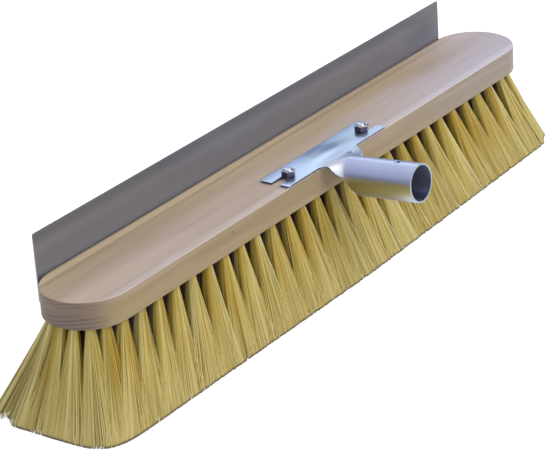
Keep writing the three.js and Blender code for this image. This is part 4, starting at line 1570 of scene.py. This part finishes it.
class BroomOperator:
    bl_options = {"REGISTER", "UNDO"}

    def execute(self, context):
        self.build(context.scene.push_broom)
        return {"FINISHED"}


class BROOM_OT_stage(BroomOperator, bpy.types.Operator):
    """Adds the floor, the lights and the camera"""

    bl_idname = "push_broom.stage"
    bl_label = "Stage"

    def build(self, settings):
        build_stage(settings.stage)


class BROOM_OT_block(BroomOperator, bpy.types.Operator):
    """Builds the beech block with its drilled holes"""

    bl_idname = "push_broom.block"
    bl_label = "Wooden Block"

    def build(self, settings):
        build_block(settings.block, settings.bristles)


class BROOM_OT_bristles(BroomOperator, bpy.types.Operator):
    """Builds the tufts of plant fibre"""

    bl_idname = "push_broom.bristles"
    bl_label = "Bristles"

    def build(self, settings):
        build_bristles(settings.bristles)


class BROOM_OT_scraper(BroomOperator, bpy.types.Operator):
    """Builds the scraper blade behind the block"""

    bl_idname = "push_broom.scraper"
    bl_label = "Scraper Blade"

    def build(self, settings):
        build_scraper(settings.scraper)


class BROOM_OT_screws(BroomOperator, bpy.types.Operator):
    """Builds the screws that hold the blade"""

    bl_idname = "push_broom.screws"
    bl_label = "Blade Screws"

    def build(self, settings):
        build_screws(settings.screws)


class BROOM_OT_bracket(BroomOperator, bpy.types.Operator):
    """Builds the bracket with its rolled handle socket"""

    bl_idname = "push_broom.bracket"
    bl_label = "Socket Bracket"

    def build(self, settings):
        build_bracket(settings.bracket)


class BROOM_OT_fasteners(BroomOperator, bpy.types.Operator):
    """Builds the studs and nuts that hold the bracket"""

    bl_idname = "push_broom.fasteners"
    bl_label = "Studs and Nuts"

    def build(self, settings):
        build_fasteners(settings.fasteners)


OPERATORS = (
    BROOM_OT_stage,
    BROOM_OT_block,
    BROOM_OT_bristles,
    BROOM_OT_scraper,
    BROOM_OT_screws,
    BROOM_OT_bracket,
    BROOM_OT_fasteners,
)


class VIEW3D_PT_push_broom(bpy.types.Panel):
    """Lists the steps that build the broom head, with their settings"""

    bl_label = "Push Broom Head"
    bl_idname = "VIEW3D_PT_push_broom"
    bl_space_type = "VIEW_3D"
    bl_region_type = "UI"
    bl_category = "Broom"

    def draw(self, context):
        for operator in OPERATORS:
            name = operator.bl_idname.split(".")[1]
            box = self.layout.box()
            box.operator(operator.bl_idname)
            group = getattr(context.scene.push_broom, name)
            for entry in SETTINGS[name].__annotations__:
                box.prop(group, entry)


CLASSES = (*SETTINGS.values(), BroomSettings, *OPERATORS, VIEW3D_PT_push_broom)


def register():
    for one in CLASSES:
        bpy.utils.register_class(one)
    bpy.types.Scene.push_broom = PointerProperty(type=BroomSettings)


def unregister():
    del bpy.types.Scene.push_broom
    for one in reversed(CLASSES):
        bpy.utils.unregister_class(one)


def main():
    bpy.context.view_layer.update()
    register()
    for operator in OPERATORS:
        name = operator.bl_idname.split(".")[1]
        getattr(bpy.ops.push_broom, name)()


if __name__ == "__main__":
    main()
